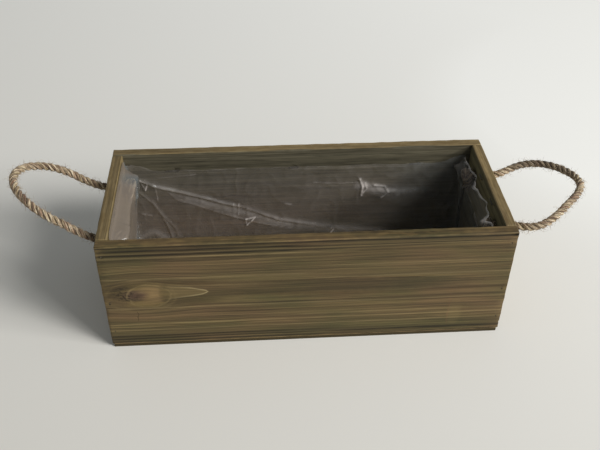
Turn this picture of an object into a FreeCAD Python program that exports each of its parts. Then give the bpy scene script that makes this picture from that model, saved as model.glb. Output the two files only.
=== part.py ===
import FreeCAD, Part

"""Window box planter: a nailed box of five boards with a film liner and two rope handles.

Frame: millimetres, origin on the ground under the middle of the box, +X along its length,
+Y to the back, +Z up. The handles stand out as the rope's own stiffness holds them.
"""

import math
import os

import Sketcher
from FreeCAD import Placement, Rotation, Vector

# ---------------------------------------------------------------- driving sizes, mm and degrees
SIZES = {
    "box_length": (400, "outside, along X"),
    "box_depth": (163, "outside, along Y"),
    "box_height": (134, "ground to rim"),
    "board": (11, "thickness of the four walls"),
    "arris": (0.7, "sanded off every edge of the walls"),
    "bottom_board": (4, "thickness of the board under the walls"),
    "bottom_side_inset": (0.5, "bottom board short of the front and back faces"),
    "bottom_end_inset": (2, "bottom board short of the end faces"),
    "rope_diameter": (8, "over the three strands"),
    "rope_clearance": (0.3, "all round the rope in its hole, and at the hinge line"),
    "hole_drop": (22, "rim to the centre of a rope hole"),
    "hole_spacing": (85, "between the two holes of an end board"),
    "knot_turn_radius": (5, "centre of the rope's turns round itself in a stopper knot"),
    "knot_turn_pitch": (7, "between the two turns of a stopper knot"),
    "tail_length": (18, "knot centre to the cut end of the rope"),
    "left_tilt": (25, "left loop above the horizontal"),
    "right_tilt": (8, "right loop above the horizontal"),
    "film": (0.25, "thickness of the liner"),
    "film_gap": (0.2, "liner to the walls"),
    "film_slack": (1, "liner to the knots it lies over"),
    "film_end_drop": (7, "rim to the liner's edge on the end boards"),
    "film_side_drop": (21, "rim to the liner's edge on the front and back boards"),
    "film_corner_run": (26, "end board to where the liner's edge is down to the side drop"),
    "film_corner_slope": (15, "length over which the liner's edge comes down"),
    "brad_thickness": (1.1, "wire across the grain"),
    "brad_width": (1.3, "wire along the grain"),
    "brad_head": (2.2, "head along the grain"),
    "brad_head_height": (0.8, "head"),
    "brad_set": (0.6, "head below the wood's face"),
    "brad_point": (2, "chisel point"),
    "corner_brad_length": (25, "head to point"),
    "corner_brad_low": (22.5, "ground to the lowest brad of a corner"),
    "corner_brad_middle": (61, "ground to the middle brad"),
    "corner_brad_high": (121, "ground to the highest brad"),
    "bottom_brad_length": (19, "head to point"),
    "side_brad_spacing": (110, "between the brads under the front and back boards"),
    "end_brad_spacing": (76, "between the brads under the end boards"),
    "staple_crown": (10, "outside, across the legs"),
    "staple_wire": (0.7, "wire, in the staple's plane"),
    "staple_width": (1.2, "wire, across that plane"),
    "staple_leg": (6, "under the crown"),
    "staple_edge": (1.6, "liner's edge to the middle of the crown"),
    "side_staple_spacing": (134, "between the staples of the front and back boards"),
    "side_staple_shift": (-5.5, "middle staple from the middle of the box"),
    "end_staple_spacing": (44, "between the staples of an end board"),
}

# Routes of the two rope loops, back hole to front hole, chosen by hand from the picture:
# (y along the hinge line, distance out from it, height above the loop's tilted plane).
# They are drawn for holes that far apart, and widen or narrow with the hole spacing.
ROUTE_HOLE_SPACING = 85
LEFT_ROUTE = [
    (42.5, 0.0, 0.0), (42.0, 11.0, -1.0), (43.4, 26.0, -0.7), (46.6, 43.5, 0.6), (44.8, 61.5, 1.2),
    (38.0, 77.5, 0.8), (27.5, 89.0, -0.2), (13.0, 92.8, -1.0), (-2.0, 88.6, -0.6), (-15.0, 79.2, 0.4),
    (-26.4, 65.2, 1.0), (-33.4, 49.0, 0.9), (-36.4, 32.0, 0.0), (-40.6, 15.0, -0.9), (-42.5, 0.0, 0.0),
]
RIGHT_ROUTE = [
    (42.5, 0.0, 0.0), (42.4, 10.0, -0.6), (48.2, 23.5, -0.4), (52.6, 38.5, 0.5), (50.4, 54.0, 1.0),
    (43.0, 68.0, 0.6), (31.8, 79.8, -0.3), (17.5, 87.8, -1.0), (2.5, 87.2, -0.8), (-11.5, 78.4, 0.2),
    (-24.2, 65.2, 0.9), (-37.8, 51.3, 1.1), (-48.4, 37.0, 0.5), (-51.8, 24.0, -0.3), (-48.2, 11.3, -0.8),
    (-42.5, 0.0, 0.0),
]
ARC_SHARE = 0.45          # of the shorter run, taken by the arc at a route point
ROPE_SIDES = 8            # flats round the tube
KNOT_SIDES = 12           # flats round a knot and its tail
BALL_SHARE = 0.97         # of the rope's radius, in the rounded ends at the hinge line
LOBE_FLAT = 0.38          # corner of a turn's outline, as a share of the rope's radius
LOBE_SIDE = 0.92
LOBE_VALLEY = 0.3

doc = FreeCAD.newDocument("window_box_planter")
sheet = doc.addObject("Spreadsheet::Sheet", "Sizes")
for row, (alias, (number, meaning)) in enumerate(SIZES.items(), start=1):
    sheet.set(f"A{row}", alias)
    sheet.set(f"B{row}", str(number))
    sheet.set(f"C{row}", meaning)
    sheet.setAlias(f"B{row}", alias)
doc.recompute()

# ---------------------------------------------------------------- places worked out from the sizes
HALF_LENGTH = "Sizes.box_length / 2"
HALF_DEPTH = "Sizes.box_depth / 2"
WALL_HEIGHT = "(Sizes.box_height - Sizes.bottom_board)"
END_WIDTH = "(Sizes.box_depth - 2 * Sizes.board)"
INNER_HALF_LENGTH = f"({HALF_LENGTH} - Sizes.board)"
INNER_HALF_DEPTH = f"({HALF_DEPTH} - Sizes.board)"
ROPE_RADIUS = "Sizes.rope_diameter / 2"
HOLE_HEIGHT = "(Sizes.box_height - Sizes.hole_drop)"
HOLE_REACH = "Sizes.hole_spacing / 2"
HINGE_OUT = f"({HALF_LENGTH} + {ROPE_RADIUS} + Sizes.rope_clearance)"
KNOT_RADIUS = f"(Sizes.knot_turn_radius + {ROPE_RADIUS})"
KNOT_LENGTH = "(Sizes.knot_turn_pitch + Sizes.rope_diameter)"
FILM_END_TOP = "(Sizes.box_height - Sizes.film_end_drop)"
FILM_SIDE_TOP = "(Sizes.box_height - Sizes.film_side_drop)"
FILM_HALF_LENGTH = f"({INNER_HALF_LENGTH} - Sizes.film_gap)"
FILM_HALF_DEPTH = f"({INNER_HALF_DEPTH} - Sizes.film_gap)"


def value(expression):
    """The number that an expression on the sizes gives now."""
    return float(sheet.evalExpression(expression))


# ---------------------------------------------------------------- bodies, sketches and features
def new_body(name):
    body = doc.addObject("PartDesign::Body", name)
    body.Label = name
    body.AllowCompound = True
    return body


def new_sketch(body, role, name):
    """A sketch on one of the body's own origin planes."""
    sketch = body.newObject("Sketcher::SketchObject", name)
    plane = next(item for item in body.Origin.OriginFeatures if item.Role == role)
    sketch.AttachmentSupport = (plane, "")
    sketch.MapMode = "FlatFace"
    return sketch


def fix_point(sketch, geometry, vertex, across, up):
    """Hold a vertex at a place given by two expressions."""
    for kind, expression in (("DistanceX", across), ("DistanceY", up)):
        rule = Sketcher.Constraint(kind, -1, 1, geometry, vertex, value(expression))
        sketch.setExpression(f"Constraints[{sketch.addConstraint(rule)}]", expression)


def add_outline(sketch, corners):
    """A closed outline of straight edges, each corner held by two expressions."""
    first = sketch.GeometryCount
    places = [Vector(value(across), value(up), 0) for across, up in corners]
    for start, end in zip(places, places[1:] + places[:1]):
        sketch.addGeometry(Part.LineSegment(start, end), False)
    for index, (across, up) in enumerate(corners):
        following = (index + 1) % len(corners)
        sketch.addConstraint(Sketcher.Constraint("Coincident", first + index, 2, first + following, 1))
        fix_point(sketch, first + index, 1, across, up)


def add_rectangle(sketch, left, right, low, high):
    add_outline(sketch, [(left, low), (right, low), (right, high), (left, high)])


def add_circle(sketch, across, up, radius):
    centre = Vector(value(across), value(up), 0)
    circle = sketch.addGeometry(Part.Circle(centre, Vector(0, 0, 1), value(radius)), False)
    fix_point(sketch, circle, 3, across, up)
    rule = sketch.addConstraint(Sketcher.Constraint("Radius", circle, value(radius)))
    sketch.setExpression(f"Constraints[{rule}]", radius)


def pad(body, sketch, length, name, side="One side"):
    feature = body.newObject("PartDesign::Pad", name)
    feature.Profile = sketch
    feature.SideType = side
    feature.setExpression("Length", length)
    doc.recompute()
    return feature


def cut_through(body, sketch, depth, name):
    """A pocket both ways from its sketch, checked by the volume it takes away."""
    before = body.Shape.Volume
    feature = body.newObject("PartDesign::Pocket", name)
    feature.Profile = sketch
    feature.SideType = "Symmetric"
    feature.setExpression("Length", f"2 * ({depth})")
    doc.recompute()
    if body.Shape.Volume > before - 0.1:
        raise RuntimeError(f"{name} cuts nothing")
    return feature


def ease_edges(body, solid, name):
    """The sanded arris on every edge of a board."""
    feature = body.newObject("PartDesign::Chamfer", name)
    feature.Base = (solid, ["Edge1"])
    feature.UseAllEdges = True
    feature.setExpression("Size", "Sizes.arris")
    doc.recompute()


def place(item, x="0", y="0", z="0", rotation=Rotation()):
    """Set an object at a place given by three expressions, turned by a fixed rotation."""
    item.Placement = Placement(Vector(value(x), value(y), value(z)), rotation)
    for axis, expression in (("x", x), ("y", y), ("z", z)):
        item.setExpression(f"Placement.Base.{axis}", expression)


HALF_TURN = Rotation(Vector(0, 0, 1), 180)


# ---------------------------------------------------------------- fasteners
def brad_outline(station, length):
    """Side view of one brad driven along +across at a station: head, wire and chisel point."""
    head_end = "(Sizes.brad_set + Sizes.brad_head_height)"
    point_start = f"(Sizes.brad_set + {length} - Sizes.brad_point)"
    point_end = f"(Sizes.brad_set + {length})"
    half_shank = "Sizes.brad_width / 2"
    return [
        ("Sizes.brad_set", f"{station} - {HALF_HEAD}"), (head_end, f"{station} - {HALF_HEAD}"),
        (head_end, f"{station} - {half_shank}"), (point_start, f"{station} - {half_shank}"),
        (point_end, f"{station}"), (point_start, f"{station} + {half_shank}"),
        (head_end, f"{station} + {half_shank}"), (head_end, f"{station} + {HALF_HEAD}"),
        ("Sizes.brad_set", f"{station} + {HALF_HEAD}"),
    ]


def make_brads(name, stations, length):
    """A row of separate brads: driven along the body's +Y, spaced along its Z."""
    body = new_body(name)
    sketch = new_sketch(body, "YZ_Plane", f"{name}_side_view")
    for station in stations:
        add_outline(sketch, brad_outline(station, length))
    pad(body, sketch, "Sizes.brad_thickness", f"{name}_wire", "Symmetric")
    return body


def staple_outline(station):
    """Top view of one staple driven along +up: crown, legs and slanted leg ends."""
    left, right = f"{station} - Sizes.staple_crown / 2", f"{station} + Sizes.staple_crown / 2"
    wire, leg = "Sizes.staple_wire", "Sizes.staple_leg"
    short_leg = f"({leg} - {wire})"
    return [
        (left, f"-{wire}"), (right, f"-{wire}"), (right, leg), (f"{right} - {wire}", short_leg),
        (f"{right} - {wire}", "0"), (f"{left} + {wire}", "0"), (f"{left} + {wire}", short_leg),
        (left, leg),
    ]


def make_staples(name, stations):
    """A row of separate staples: driven along the body's +Y, spaced along its X."""
    body = new_body(name)
    sketch = new_sketch(body, "XY_Plane", f"{name}_top_view")
    for station in stations:
        add_outline(sketch, staple_outline(station))
    pad(body, sketch, "Sizes.staple_width", f"{name}_wire", "Symmetric")
    return body


CORNER_STATIONS = ["Sizes.corner_brad_low", "Sizes.corner_brad_middle", "Sizes.corner_brad_high"]
SIDE_STATIONS = [f"{step} * Sizes.side_brad_spacing" for step in ("-1.5", "-0.5", "0.5", "1.5")]
END_STATIONS = ["-Sizes.end_brad_spacing / 2", "Sizes.end_brad_spacing / 2"]
CORNER_X = f"({HALF_LENGTH} - Sizes.board / 2)"
WALL_MIDDLE_Y = f"({HALF_DEPTH} - Sizes.board / 2)"
HALF_HEAD = "Sizes.brad_head / 2"
HALF_WIRE = "Sizes.brad_thickness / 2"
UP_ALONG_X = Rotation(Vector(1, 1, 1), 120)      # a row's depth to +Z, its stations to +X
UP_ALONG_Y = Rotation(Vector(0, 1, 1), 180)      # a row's depth to +Z, its stations to +Y


def make_all_brads():
    brads = {}
    for side, sign in (("left", "-"), ("right", "")):
        front = make_brads(f"front_{side}_brads", CORNER_STATIONS, "Sizes.corner_brad_length")
        place(front, f"{sign}{CORNER_X}", f"-{HALF_DEPTH}")
        back = make_brads(f"back_{side}_brads", CORNER_STATIONS, "Sizes.corner_brad_length")
        place(back, f"{sign}{CORNER_X}", HALF_DEPTH, rotation=HALF_TURN)
        bottom = make_brads(f"{side}_bottom_brads", END_STATIONS, "Sizes.bottom_brad_length")
        place(bottom, f"{sign}{CORNER_X}", rotation=UP_ALONG_Y)
        brads.update({item.Name: item for item in (front, back, bottom)})
    for side, sign in (("front", "-"), ("back", "")):
        bottom = make_brads(f"{side}_bottom_brads", SIDE_STATIONS, "Sizes.bottom_brad_length")
        place(bottom, y=f"{sign}{WALL_MIDDLE_Y}", rotation=UP_ALONG_X)
        brads[bottom.Name] = bottom
    return brads


def make_all_staples():
    """Each row is driven outwards through the liner, its crown on the liner's inner face."""
    side_y = f"({FILM_HALF_DEPTH} - Sizes.film)"
    side_z = f"({FILM_SIDE_TOP} - Sizes.staple_edge)"
    end_x = f"({FILM_HALF_LENGTH} - Sizes.film)"
    end_z = f"({FILM_END_TOP} - Sizes.staple_edge)"
    staples = {}
    for side, sign, turn in (("back", "", Rotation()), ("front", "-", HALF_TURN)):
        shift = "Sizes.side_staple_shift" if side == "back" else "-Sizes.side_staple_shift"
        stations = [f"{shift} + {step} * Sizes.side_staple_spacing" for step in ("-1", "0", "1")]
        row = make_staples(f"{side}_staples", stations)
        place(row, y=f"{sign}{side_y}", z=side_z, rotation=turn)
        staples[row.Name] = row
    end_stations = ["-Sizes.end_staple_spacing / 2", "Sizes.end_staple_spacing / 2"]
    for side, sign, angle in (("left", "-", 90), ("right", "", -90)):
        row = make_staples(f"{side}_staples", end_stations)
        place(row, f"{sign}{end_x}", z=end_z, rotation=Rotation(Vector(0, 0, 1), angle))
        staples[row.Name] = row
    return staples


# ---------------------------------------------------------------- boards
def add_nail_mouth(sketch, across, up, half_width, half_height):
    """The small mouth over one sunk head, in a face of the board that lies on the sketch."""
    add_rectangle(sketch, f"{across} - {half_width}", f"{across} + {half_width}",
                  f"{up} - {half_height}", f"{up} + {half_height}")


def make_side_board(name):
    """Front or back board: outer face on the body's XZ plane, inner side towards +Y."""
    body = new_body(f"{name}_blank")
    plan = new_sketch(body, "XY_Plane", f"{name}_plan")
    add_rectangle(plan, f"-{HALF_LENGTH}", HALF_LENGTH, "0", "Sizes.board")
    ease_edges(body, pad(body, plan, WALL_HEIGHT, f"{name}_plank"), f"{name}_edges")
    mouths = new_sketch(body, "XZ_Plane", f"{name}_nail_mouths_sketch")
    for station in CORNER_STATIONS:
        for sign in ("-", ""):
            add_nail_mouth(mouths, f"{sign}{CORNER_X}", f"{station} - Sizes.bottom_board",
                           HALF_WIRE, HALF_HEAD)
    cut_through(body, mouths, "Sizes.brad_set", f"{name}_nail_mouths")
    return body


def make_end_board(name):
    """End board: outer face on the body's YZ plane, inner side towards +X, two rope holes."""
    body = new_body(f"{name}_blank")
    plan = new_sketch(body, "XY_Plane", f"{name}_plan")
    add_rectangle(plan, "0", "Sizes.board", f"-{END_WIDTH} / 2", f"{END_WIDTH} / 2")
    ease_edges(body, pad(body, plan, WALL_HEIGHT, f"{name}_plank"), f"{name}_edges")
    holes = new_sketch(body, "YZ_Plane", f"{name}_rope_holes")
    for sign in ("-", ""):
        add_circle(holes, f"{sign}{HOLE_REACH}", f"{HOLE_HEIGHT} - Sizes.bottom_board",
                   f"{ROPE_RADIUS} + Sizes.rope_clearance")
    cut_through(body, holes, "2 * Sizes.board", f"{name}_drilling")
    return body


def make_bottom_board():
    """The thin board under the walls, with its nail mouths on the underside."""
    body = new_body("bottom_board_blank")
    plan = new_sketch(body, "XY_Plane", "bottom_plan")
    half_x = f"({HALF_LENGTH} - Sizes.bottom_end_inset)"
    half_y = f"({HALF_DEPTH} - Sizes.bottom_side_inset)"
    add_rectangle(plan, f"-{half_x}", half_x, f"-{half_y}", half_y)
    pad(body, plan, "Sizes.bottom_board", "bottom_plank")
    mouths = new_sketch(body, "XY_Plane", "bottom_nail_mouths_sketch")
    for sign in ("-", ""):
        for station in SIDE_STATIONS:
            add_nail_mouth(mouths, station, f"{sign}{WALL_MIDDLE_Y}", HALF_HEAD, HALF_WIRE)
        for station in END_STATIONS:
            add_nail_mouth(mouths, f"{sign}{CORNER_X}", station, HALF_WIRE, HALF_HEAD)
    cut_through(body, mouths, "Sizes.brad_set", "bottom_nail_mouths")
    return body


def drive_fasteners(blank, name, fasteners):
    """The board with the wood displaced by the brads and staple legs that go into it."""
    tools = doc.addObject("Part::Compound", f"{name}_fasteners")
    tools.Links = fasteners
    board = doc.addObject("Part::Cut", name)
    board.Label = name
    board.Base = blank
    board.Tool = tools
    doc.recompute()
    return board


# ---------------------------------------------------------------- rope
def rope_wire(points):
    """Straight runs joined by tangent arcs as large as the runs allow, and the arcs' radii."""
    edges, radii = [], []
    start = points[0]
    for before, corner, after in zip(points, points[1:], points[2:]):
        into, out = (corner - before), (after - corner)
        reach = ARC_SHARE * min(into.Length, out.Length)
        half_turn = into.getAngle(out) / 2
        radii.append(reach / math.tan(half_turn))
        into.normalize()
        out.normalize()
        arc_start, arc_end = corner - into * reach, corner + out * reach
        inward = (out - into).normalize()
        centre = corner + inward * math.hypot(radii[-1], reach)
        middle = centre - inward * radii[-1]
        edges.append(Part.LineSegment(start, arc_start).toShape())
        edges.append(Part.Arc(arc_start, middle, arc_end).toShape())
        start = arc_end
    edges.append(Part.LineSegment(start, points[-1]).toShape())
    return Part.Wire(edges), radii


def rope_section(centre, direction, radius):
    """A polygon round the rope's line, square to its direction."""
    across = direction.cross(Vector(0, 0, 1)).normalize()
    up = across.cross(direction).normalize()
    turns = [2 * math.pi * side / ROPE_SIDES for side in range(ROPE_SIDES + 1)]
    return Part.makePolygon([
        centre + across * (radius * math.cos(turn)) + up * (radius * math.sin(turn)) for turn in turns
    ])


def make_handle_rope(name, side, tilt, route):
    """A rope loop from hinge line to hinge line, with rounded ends that turn in the hole mouths."""
    lean = math.radians(tilt)
    widening = value("Sizes.hole_spacing") / ROUTE_HOLE_SPACING
    points = [
        Vector(side * (out * math.cos(lean) - lift * math.sin(lean)), along * widening,
               out * math.sin(lean) + lift * math.cos(lean))
        for along, out, lift in route
    ]
    radius = value(ROPE_RADIUS)
    path, radii = rope_wire(points)
    tube = path.makePipeShell([rope_section(points[0], points[1] - points[0], radius)], True, False)
    expected = ROPE_SIDES / 2 * math.sin(2 * math.pi / ROPE_SIDES) * radius ** 2 * path.Length
    if abs(tube.Volume - expected) > 0.01 * expected:
        raise RuntimeError(f"{name}: tube volume {tube.Volume:.0f}, expected {expected:.0f}")
    ends = [Part.makeSphere(BALL_SHARE * radius, end) for end in (points[0], points[-1])]
    loop = doc.addObject("Part::Feature", name)
    loop.Label = name
    loop.Shape = tube.multiFuse(ends).removeSplitter()
    place(loop, f"{side} * {HINGE_OUT}", "0", HOLE_HEIGHT)
    print(f"{name}: length {path.Length:.1f} mm, radii " + " ".join(f"{size:.0f}" for size in radii))
    return loop


def flat_sided_solid(sections, sides):
    """A solid along +X with flat sides, through regular polygons given as (distance, radius)."""
    rings = []
    for distance, radius in sections:
        turns = [2 * math.pi * side / sides for side in range(sides)]
        rings.append([Vector(distance, radius * math.cos(turn), radius * math.sin(turn)) for turn in turns])
    faces = [Part.Face(Part.makePolygon(ring + ring[:1])) for ring in (rings[0], rings[-1])]
    for ring, following in zip(rings, rings[1:]):
        for side in range(sides):
            nearby = (side + 1) % sides
            corners = [ring[side], ring[nearby], following[nearby], following[side], ring[side]]
            faces.append(Part.Face(Part.makePolygon(corners)))
    solid = Part.makeSolid(Part.makeShell(faces))
    solid.fix(1e-6, 1e-6, 1e-6)
    return solid


def knot_sections():
    """Distance in from the board's outer face, and radius, down the two turns of a stopper knot."""
    board, radius = value("Sizes.board"), value(ROPE_RADIUS)
    turn_line, pitch = value("Sizes.knot_turn_radius"), value("Sizes.knot_turn_pitch")
    flat, crown = LOBE_FLAT * radius, turn_line + LOBE_SIDE * radius
    shoulder, valley = turn_line + flat, turn_line + LOBE_VALLEY * radius
    first = board + radius
    second = first + pitch
    return [
        (board, shoulder), (first - flat, crown), (first + flat, crown), (first + pitch / 2, valley),
        (second - flat, crown), (second + flat, crown), (second + LOBE_SIDE * radius, shoulder),
    ]


def make_knot(name, side, sign):
    """Rope in the hole, two turns of a stopper knot hard against the board, and the cut tail."""
    board, radius = value("Sizes.board"), value(ROPE_RADIUS)
    stub = flat_sided_solid([(0, radius), (board, radius)], KNOT_SIDES)
    turns = flat_sided_solid(knot_sections(), KNOT_SIDES)
    tail = flat_sided_solid([(0, radius), (value("Sizes.tail_length"), radius)], KNOT_SIDES)
    tail.Placement = Placement(Vector(value(f"Sizes.board + {KNOT_LENGTH} / 2"), 0, 0),
                               Rotation(Vector(0, 1, 0), 90))
    knot = doc.addObject("Part::Feature", name)
    knot.Label = name
    knot.Shape = turns.multiFuse([stub, tail]).removeSplitter()
    rotation = Rotation() if side < 0 else HALF_TURN
    place(knot, f"{side} * {HALF_LENGTH}", f"{sign}{HOLE_REACH}", HOLE_HEIGHT, rotation)
    return knot


# ---------------------------------------------------------------- liner
def make_tent(name, side):
    """The space that the knots of one end take from the liner: a blunt wedge on the end board."""
    hole_above_edge = f"({HOLE_HEIGHT} - Sizes.tail_length - Sizes.film_slack)"
    sizes = {
        "Xmin": f"-({FILM_HALF_DEPTH} - 4 * Sizes.film_slack)",
        "Xmax": f"{FILM_HALF_DEPTH} - 4 * Sizes.film_slack",
        "X2min": f"-({HOLE_REACH} + {KNOT_RADIUS} + Sizes.film_slack)",
        "X2max": f"{HOLE_REACH} + {KNOT_RADIUS} + Sizes.film_slack",
        "Ymin": "0",
        "Ymax": f"{KNOT_LENGTH} + Sizes.film_slack",
        "Zmin": "Sizes.bottom_board + 2 * Sizes.film_slack",
        "Zmax": f"{FILM_END_TOP} - 2 * Sizes.staple_edge",
        "Z2min": hole_above_edge,
        "Z2max": f"{HOLE_HEIGHT} + {KNOT_RADIUS} + Sizes.film_slack / 2",
    }
    tent = doc.addObject("Part::Wedge", name)
    for size, expression in sizes.items():
        tent.setExpression(size, expression)
    place(tent, f"{side} * {FILM_HALF_LENGTH}", rotation=Rotation(Vector(0, 0, 1), 90 * side))
    return tent


def make_liner(staples):
    """Film tray: a core box less the two tents, turned into a skin, its long edges cut lower."""
    core = doc.addObject("Part::Box", "liner_space")
    core.setExpression("Length", f"2 * {FILM_HALF_LENGTH}")
    core.setExpression("Width", f"2 * {FILM_HALF_DEPTH}")
    core.setExpression("Height", f"{FILM_END_TOP} - Sizes.bottom_board")
    place(core, f"-{FILM_HALF_LENGTH}", f"-{FILM_HALF_DEPTH}", "Sizes.bottom_board")
    tents = doc.addObject("Part::Compound", "knot_tents")
    tents.Links = [make_tent("left_tent", -1), make_tent("right_tent", 1)]
    space = doc.addObject("Part::Cut", "liner_space_round_knots")
    space.Base, space.Tool = core, tents
    doc.recompute()
    faces = space.Shape.Faces
    mouth = max(range(len(faces)), key=lambda index: faces[index].CenterOfMass.z)
    skin = doc.addObject("Part::Thickness", "liner_skin")
    skin.Faces = (space, [f"Face{mouth + 1}"])
    skin.Mode, skin.Join = "Skin", "Intersection"
    skin.setExpression("Value", "-Sizes.film")
    trim = doc.addObject("Part::Wedge", "liner_edge_trim")
    low, high = f"({FILM_HALF_LENGTH} - Sizes.film_corner_run)", "Sizes.film_corner_slope"
    sizes = {
        "Xmin": f"-{low}", "Xmax": low,
        "X2min": f"-({low} + {high})", "X2max": f"{low} + {high}",
        "Ymin": "0", "Ymax": f"{FILM_END_TOP} - {FILM_SIDE_TOP} + Sizes.film_slack",
        "Zmin": f"-{HALF_DEPTH}", "Zmax": HALF_DEPTH, "Z2min": f"-{HALF_DEPTH}", "Z2max": HALF_DEPTH,
    }
    for size, expression in sizes.items():
        trim.setExpression(size, expression)
    place(trim, z=FILM_SIDE_TOP, rotation=Rotation(Vector(1, 0, 0), 90))
    tools = doc.addObject("Part::Compound", "liner_cutters")
    tools.Links = [trim] + list(staples.values())
    liner = doc.addObject("Part::Cut", "liner_film")
    liner.Label = "liner_film"
    liner.Base, liner.Tool = skin, tools
    doc.recompute()
    return liner


# ---------------------------------------------------------------- the planter
def make_boards(brads, staples):
    front = make_side_board("front_board")
    place(front, y=f"-{HALF_DEPTH}", z="Sizes.bottom_board")
    back = make_side_board("back_board")
    place(back, y=HALF_DEPTH, z="Sizes.bottom_board", rotation=HALF_TURN)
    left = make_end_board("left_end_board")
    place(left, f"-{HALF_LENGTH}", z="Sizes.bottom_board")
    right = make_end_board("right_end_board")
    place(right, HALF_LENGTH, z="Sizes.bottom_board", rotation=HALF_TURN)
    blanks = {
        "front_board": (front, ["front_left_brads", "front_right_brads", "front_bottom_brads"]),
        "back_board": (back, ["back_left_brads", "back_right_brads", "back_bottom_brads"]),
        "left_end_board": (left, ["front_left_brads", "back_left_brads", "left_bottom_brads"]),
        "right_end_board": (right, ["front_right_brads", "back_right_brads", "right_bottom_brads"]),
    }
    boards = []
    for name, (blank, rows) in blanks.items():
        wall_staples = staples[name.split("_")[0] + "_staples"]
        boards.append(drive_fasteners(blank, name, [brads[row] for row in rows] + [wall_staples]))
    under = [row for label, row in brads.items() if label.endswith("bottom_brads")]
    boards.append(drive_fasteners(make_bottom_board(), "bottom_board", under))
    return boards


def make_ropes():
    ropes = [
        make_handle_rope("left_handle_rope", -1, value("Sizes.left_tilt"), LEFT_ROUTE),
        make_handle_rope("right_handle_rope", 1, value("Sizes.right_tilt"), RIGHT_ROUTE),
    ]
    for side_name, side in (("left", -1), ("right", 1)):
        for end_name, sign in (("front", "-"), ("back", "")):
            ropes.append(make_knot(f"{side_name}_{end_name}_knot", side, sign))
    return ropes


def check_and_write(pieces):
    """Refuse any failed object or solid, then write each piece to its own file."""
    doc.recompute()
    for item in doc.Objects:
        if {"Invalid", "Error"} & set(item.State):
            raise RuntimeError(f"{item.Label} failed: {item.State}")
    os.makedirs("parts", exist_ok=True)
    for piece in pieces:
        shape = piece.Shape
        if shape.isNull() or not shape.isValid() or not shape.Solids:
            raise RuntimeError(f"{piece.Label} has no valid solid")
        shape.exportStep(f"parts/{piece.Label}.step")
        print(f"{piece.Label}: {len(shape.Solids)} solid(s), {shape.Volume:.0f} mm3")


def main():
    brads = make_all_brads()
    staples = make_all_staples()
    boards = make_boards(brads, staples)
    check_and_write(boards + [make_liner(staples)] + make_ropes() + list(brads.values())
                    + list(staples.values()))


main()
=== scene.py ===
"""Window box planter: its looks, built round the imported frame.

Frame: metres, origin on the ground under the middle of the box, +X along its length,
+Y to the back, +Z up. Sizes in the classes are millimetres, as a maker writes them.
"""

import logging
import math
import random
from dataclasses import dataclass, field
from enum import Enum
from itertools import product

import bpy
from bpy.types import Material, NodeSocket, Object
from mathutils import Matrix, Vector, noise


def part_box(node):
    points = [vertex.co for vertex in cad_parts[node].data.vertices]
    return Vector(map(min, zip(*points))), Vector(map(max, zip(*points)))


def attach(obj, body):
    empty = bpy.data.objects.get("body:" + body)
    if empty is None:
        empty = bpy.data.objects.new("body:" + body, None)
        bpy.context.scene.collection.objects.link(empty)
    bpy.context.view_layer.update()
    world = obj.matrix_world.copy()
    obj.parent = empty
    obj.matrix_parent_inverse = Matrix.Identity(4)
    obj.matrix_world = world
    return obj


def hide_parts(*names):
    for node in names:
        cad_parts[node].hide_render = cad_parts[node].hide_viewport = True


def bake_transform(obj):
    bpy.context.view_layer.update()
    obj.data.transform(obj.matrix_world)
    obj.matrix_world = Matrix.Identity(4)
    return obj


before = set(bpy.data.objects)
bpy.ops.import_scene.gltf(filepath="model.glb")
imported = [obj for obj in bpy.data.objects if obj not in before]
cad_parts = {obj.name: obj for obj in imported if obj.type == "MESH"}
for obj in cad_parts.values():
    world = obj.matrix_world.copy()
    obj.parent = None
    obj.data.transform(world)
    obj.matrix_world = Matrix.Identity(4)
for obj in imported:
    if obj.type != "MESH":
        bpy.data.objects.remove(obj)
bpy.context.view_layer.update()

MM = 0.001
RIM = 134.0          # height of the boards' upper edge
END_FACE = 200.0     # an end board's outer face, from the box's middle
HOLE_REACH = 42.5    # a rope hole, from the middle of its end board
HOLE_HEIGHT = 112.0
ROPE = 8.0
LOG = logging.getLogger("planter")
Place = tuple[float, float]
Point = tuple[float, float, float]


# ------------------------------------------------------------------ small helpers
def mix(low: float, high: float, share: float) -> float:
    """Blend two numbers."""
    return low + (high - low) * share


def smooth(low: float, high: float, value: float) -> float:
    """A smooth step from 0 at low to 1 at high."""
    share = min(1.0, max(0.0, (value - low) / (high - low)))
    return share * share * (3 - 2 * share)


def bell(value: float, width: float) -> float:
    """A soft hump of height 1 and that half width."""
    return math.exp(-((value / width) ** 2))


def flow(x: float, y: float, z: float) -> float:
    """A number either side of nought that drifts smoothly with the place."""
    return noise.noise(Vector((x, y, z)))


def around(side: Vector, up: Vector, turn: float) -> Vector:
    """The direction that lies at an angle from side towards up."""
    return side * math.cos(turn) + up * math.sin(turn)


def linear(code: str) -> tuple[float, float, float, float]:
    """Turn an sRGB hex colour to linear light.

    Args:
        code: Six hex digits.
    Returns:
        Linear red, green, blue and a full alpha.
    """
    channels = [int(code[i:i + 2], 16) / 255 for i in (0, 2, 4)]
    turned = [c / 12.92 if c <= 0.04045 else ((c + 0.055) / 1.055) ** 2.4 for c in channels]
    return (*turned, 1.0)


def take_up(piece: Object | None = None) -> None:
    """Leave edit mode, deselect all and make one object the selected and active one."""
    if bpy.context.object and bpy.context.object.mode != "OBJECT":
        bpy.ops.object.mode_set(mode="OBJECT")
    bpy.ops.object.select_all(action="DESELECT")
    if piece:
        piece.select_set(True)
        bpy.context.view_layer.objects.active = piece


def linked(name: str, data: bpy.types.ID) -> Object:
    """Put data into the scene as an object at the origin."""
    item = bpy.data.objects.new(name, data)
    bpy.context.scene.collection.objects.link(item)
    return item


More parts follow.
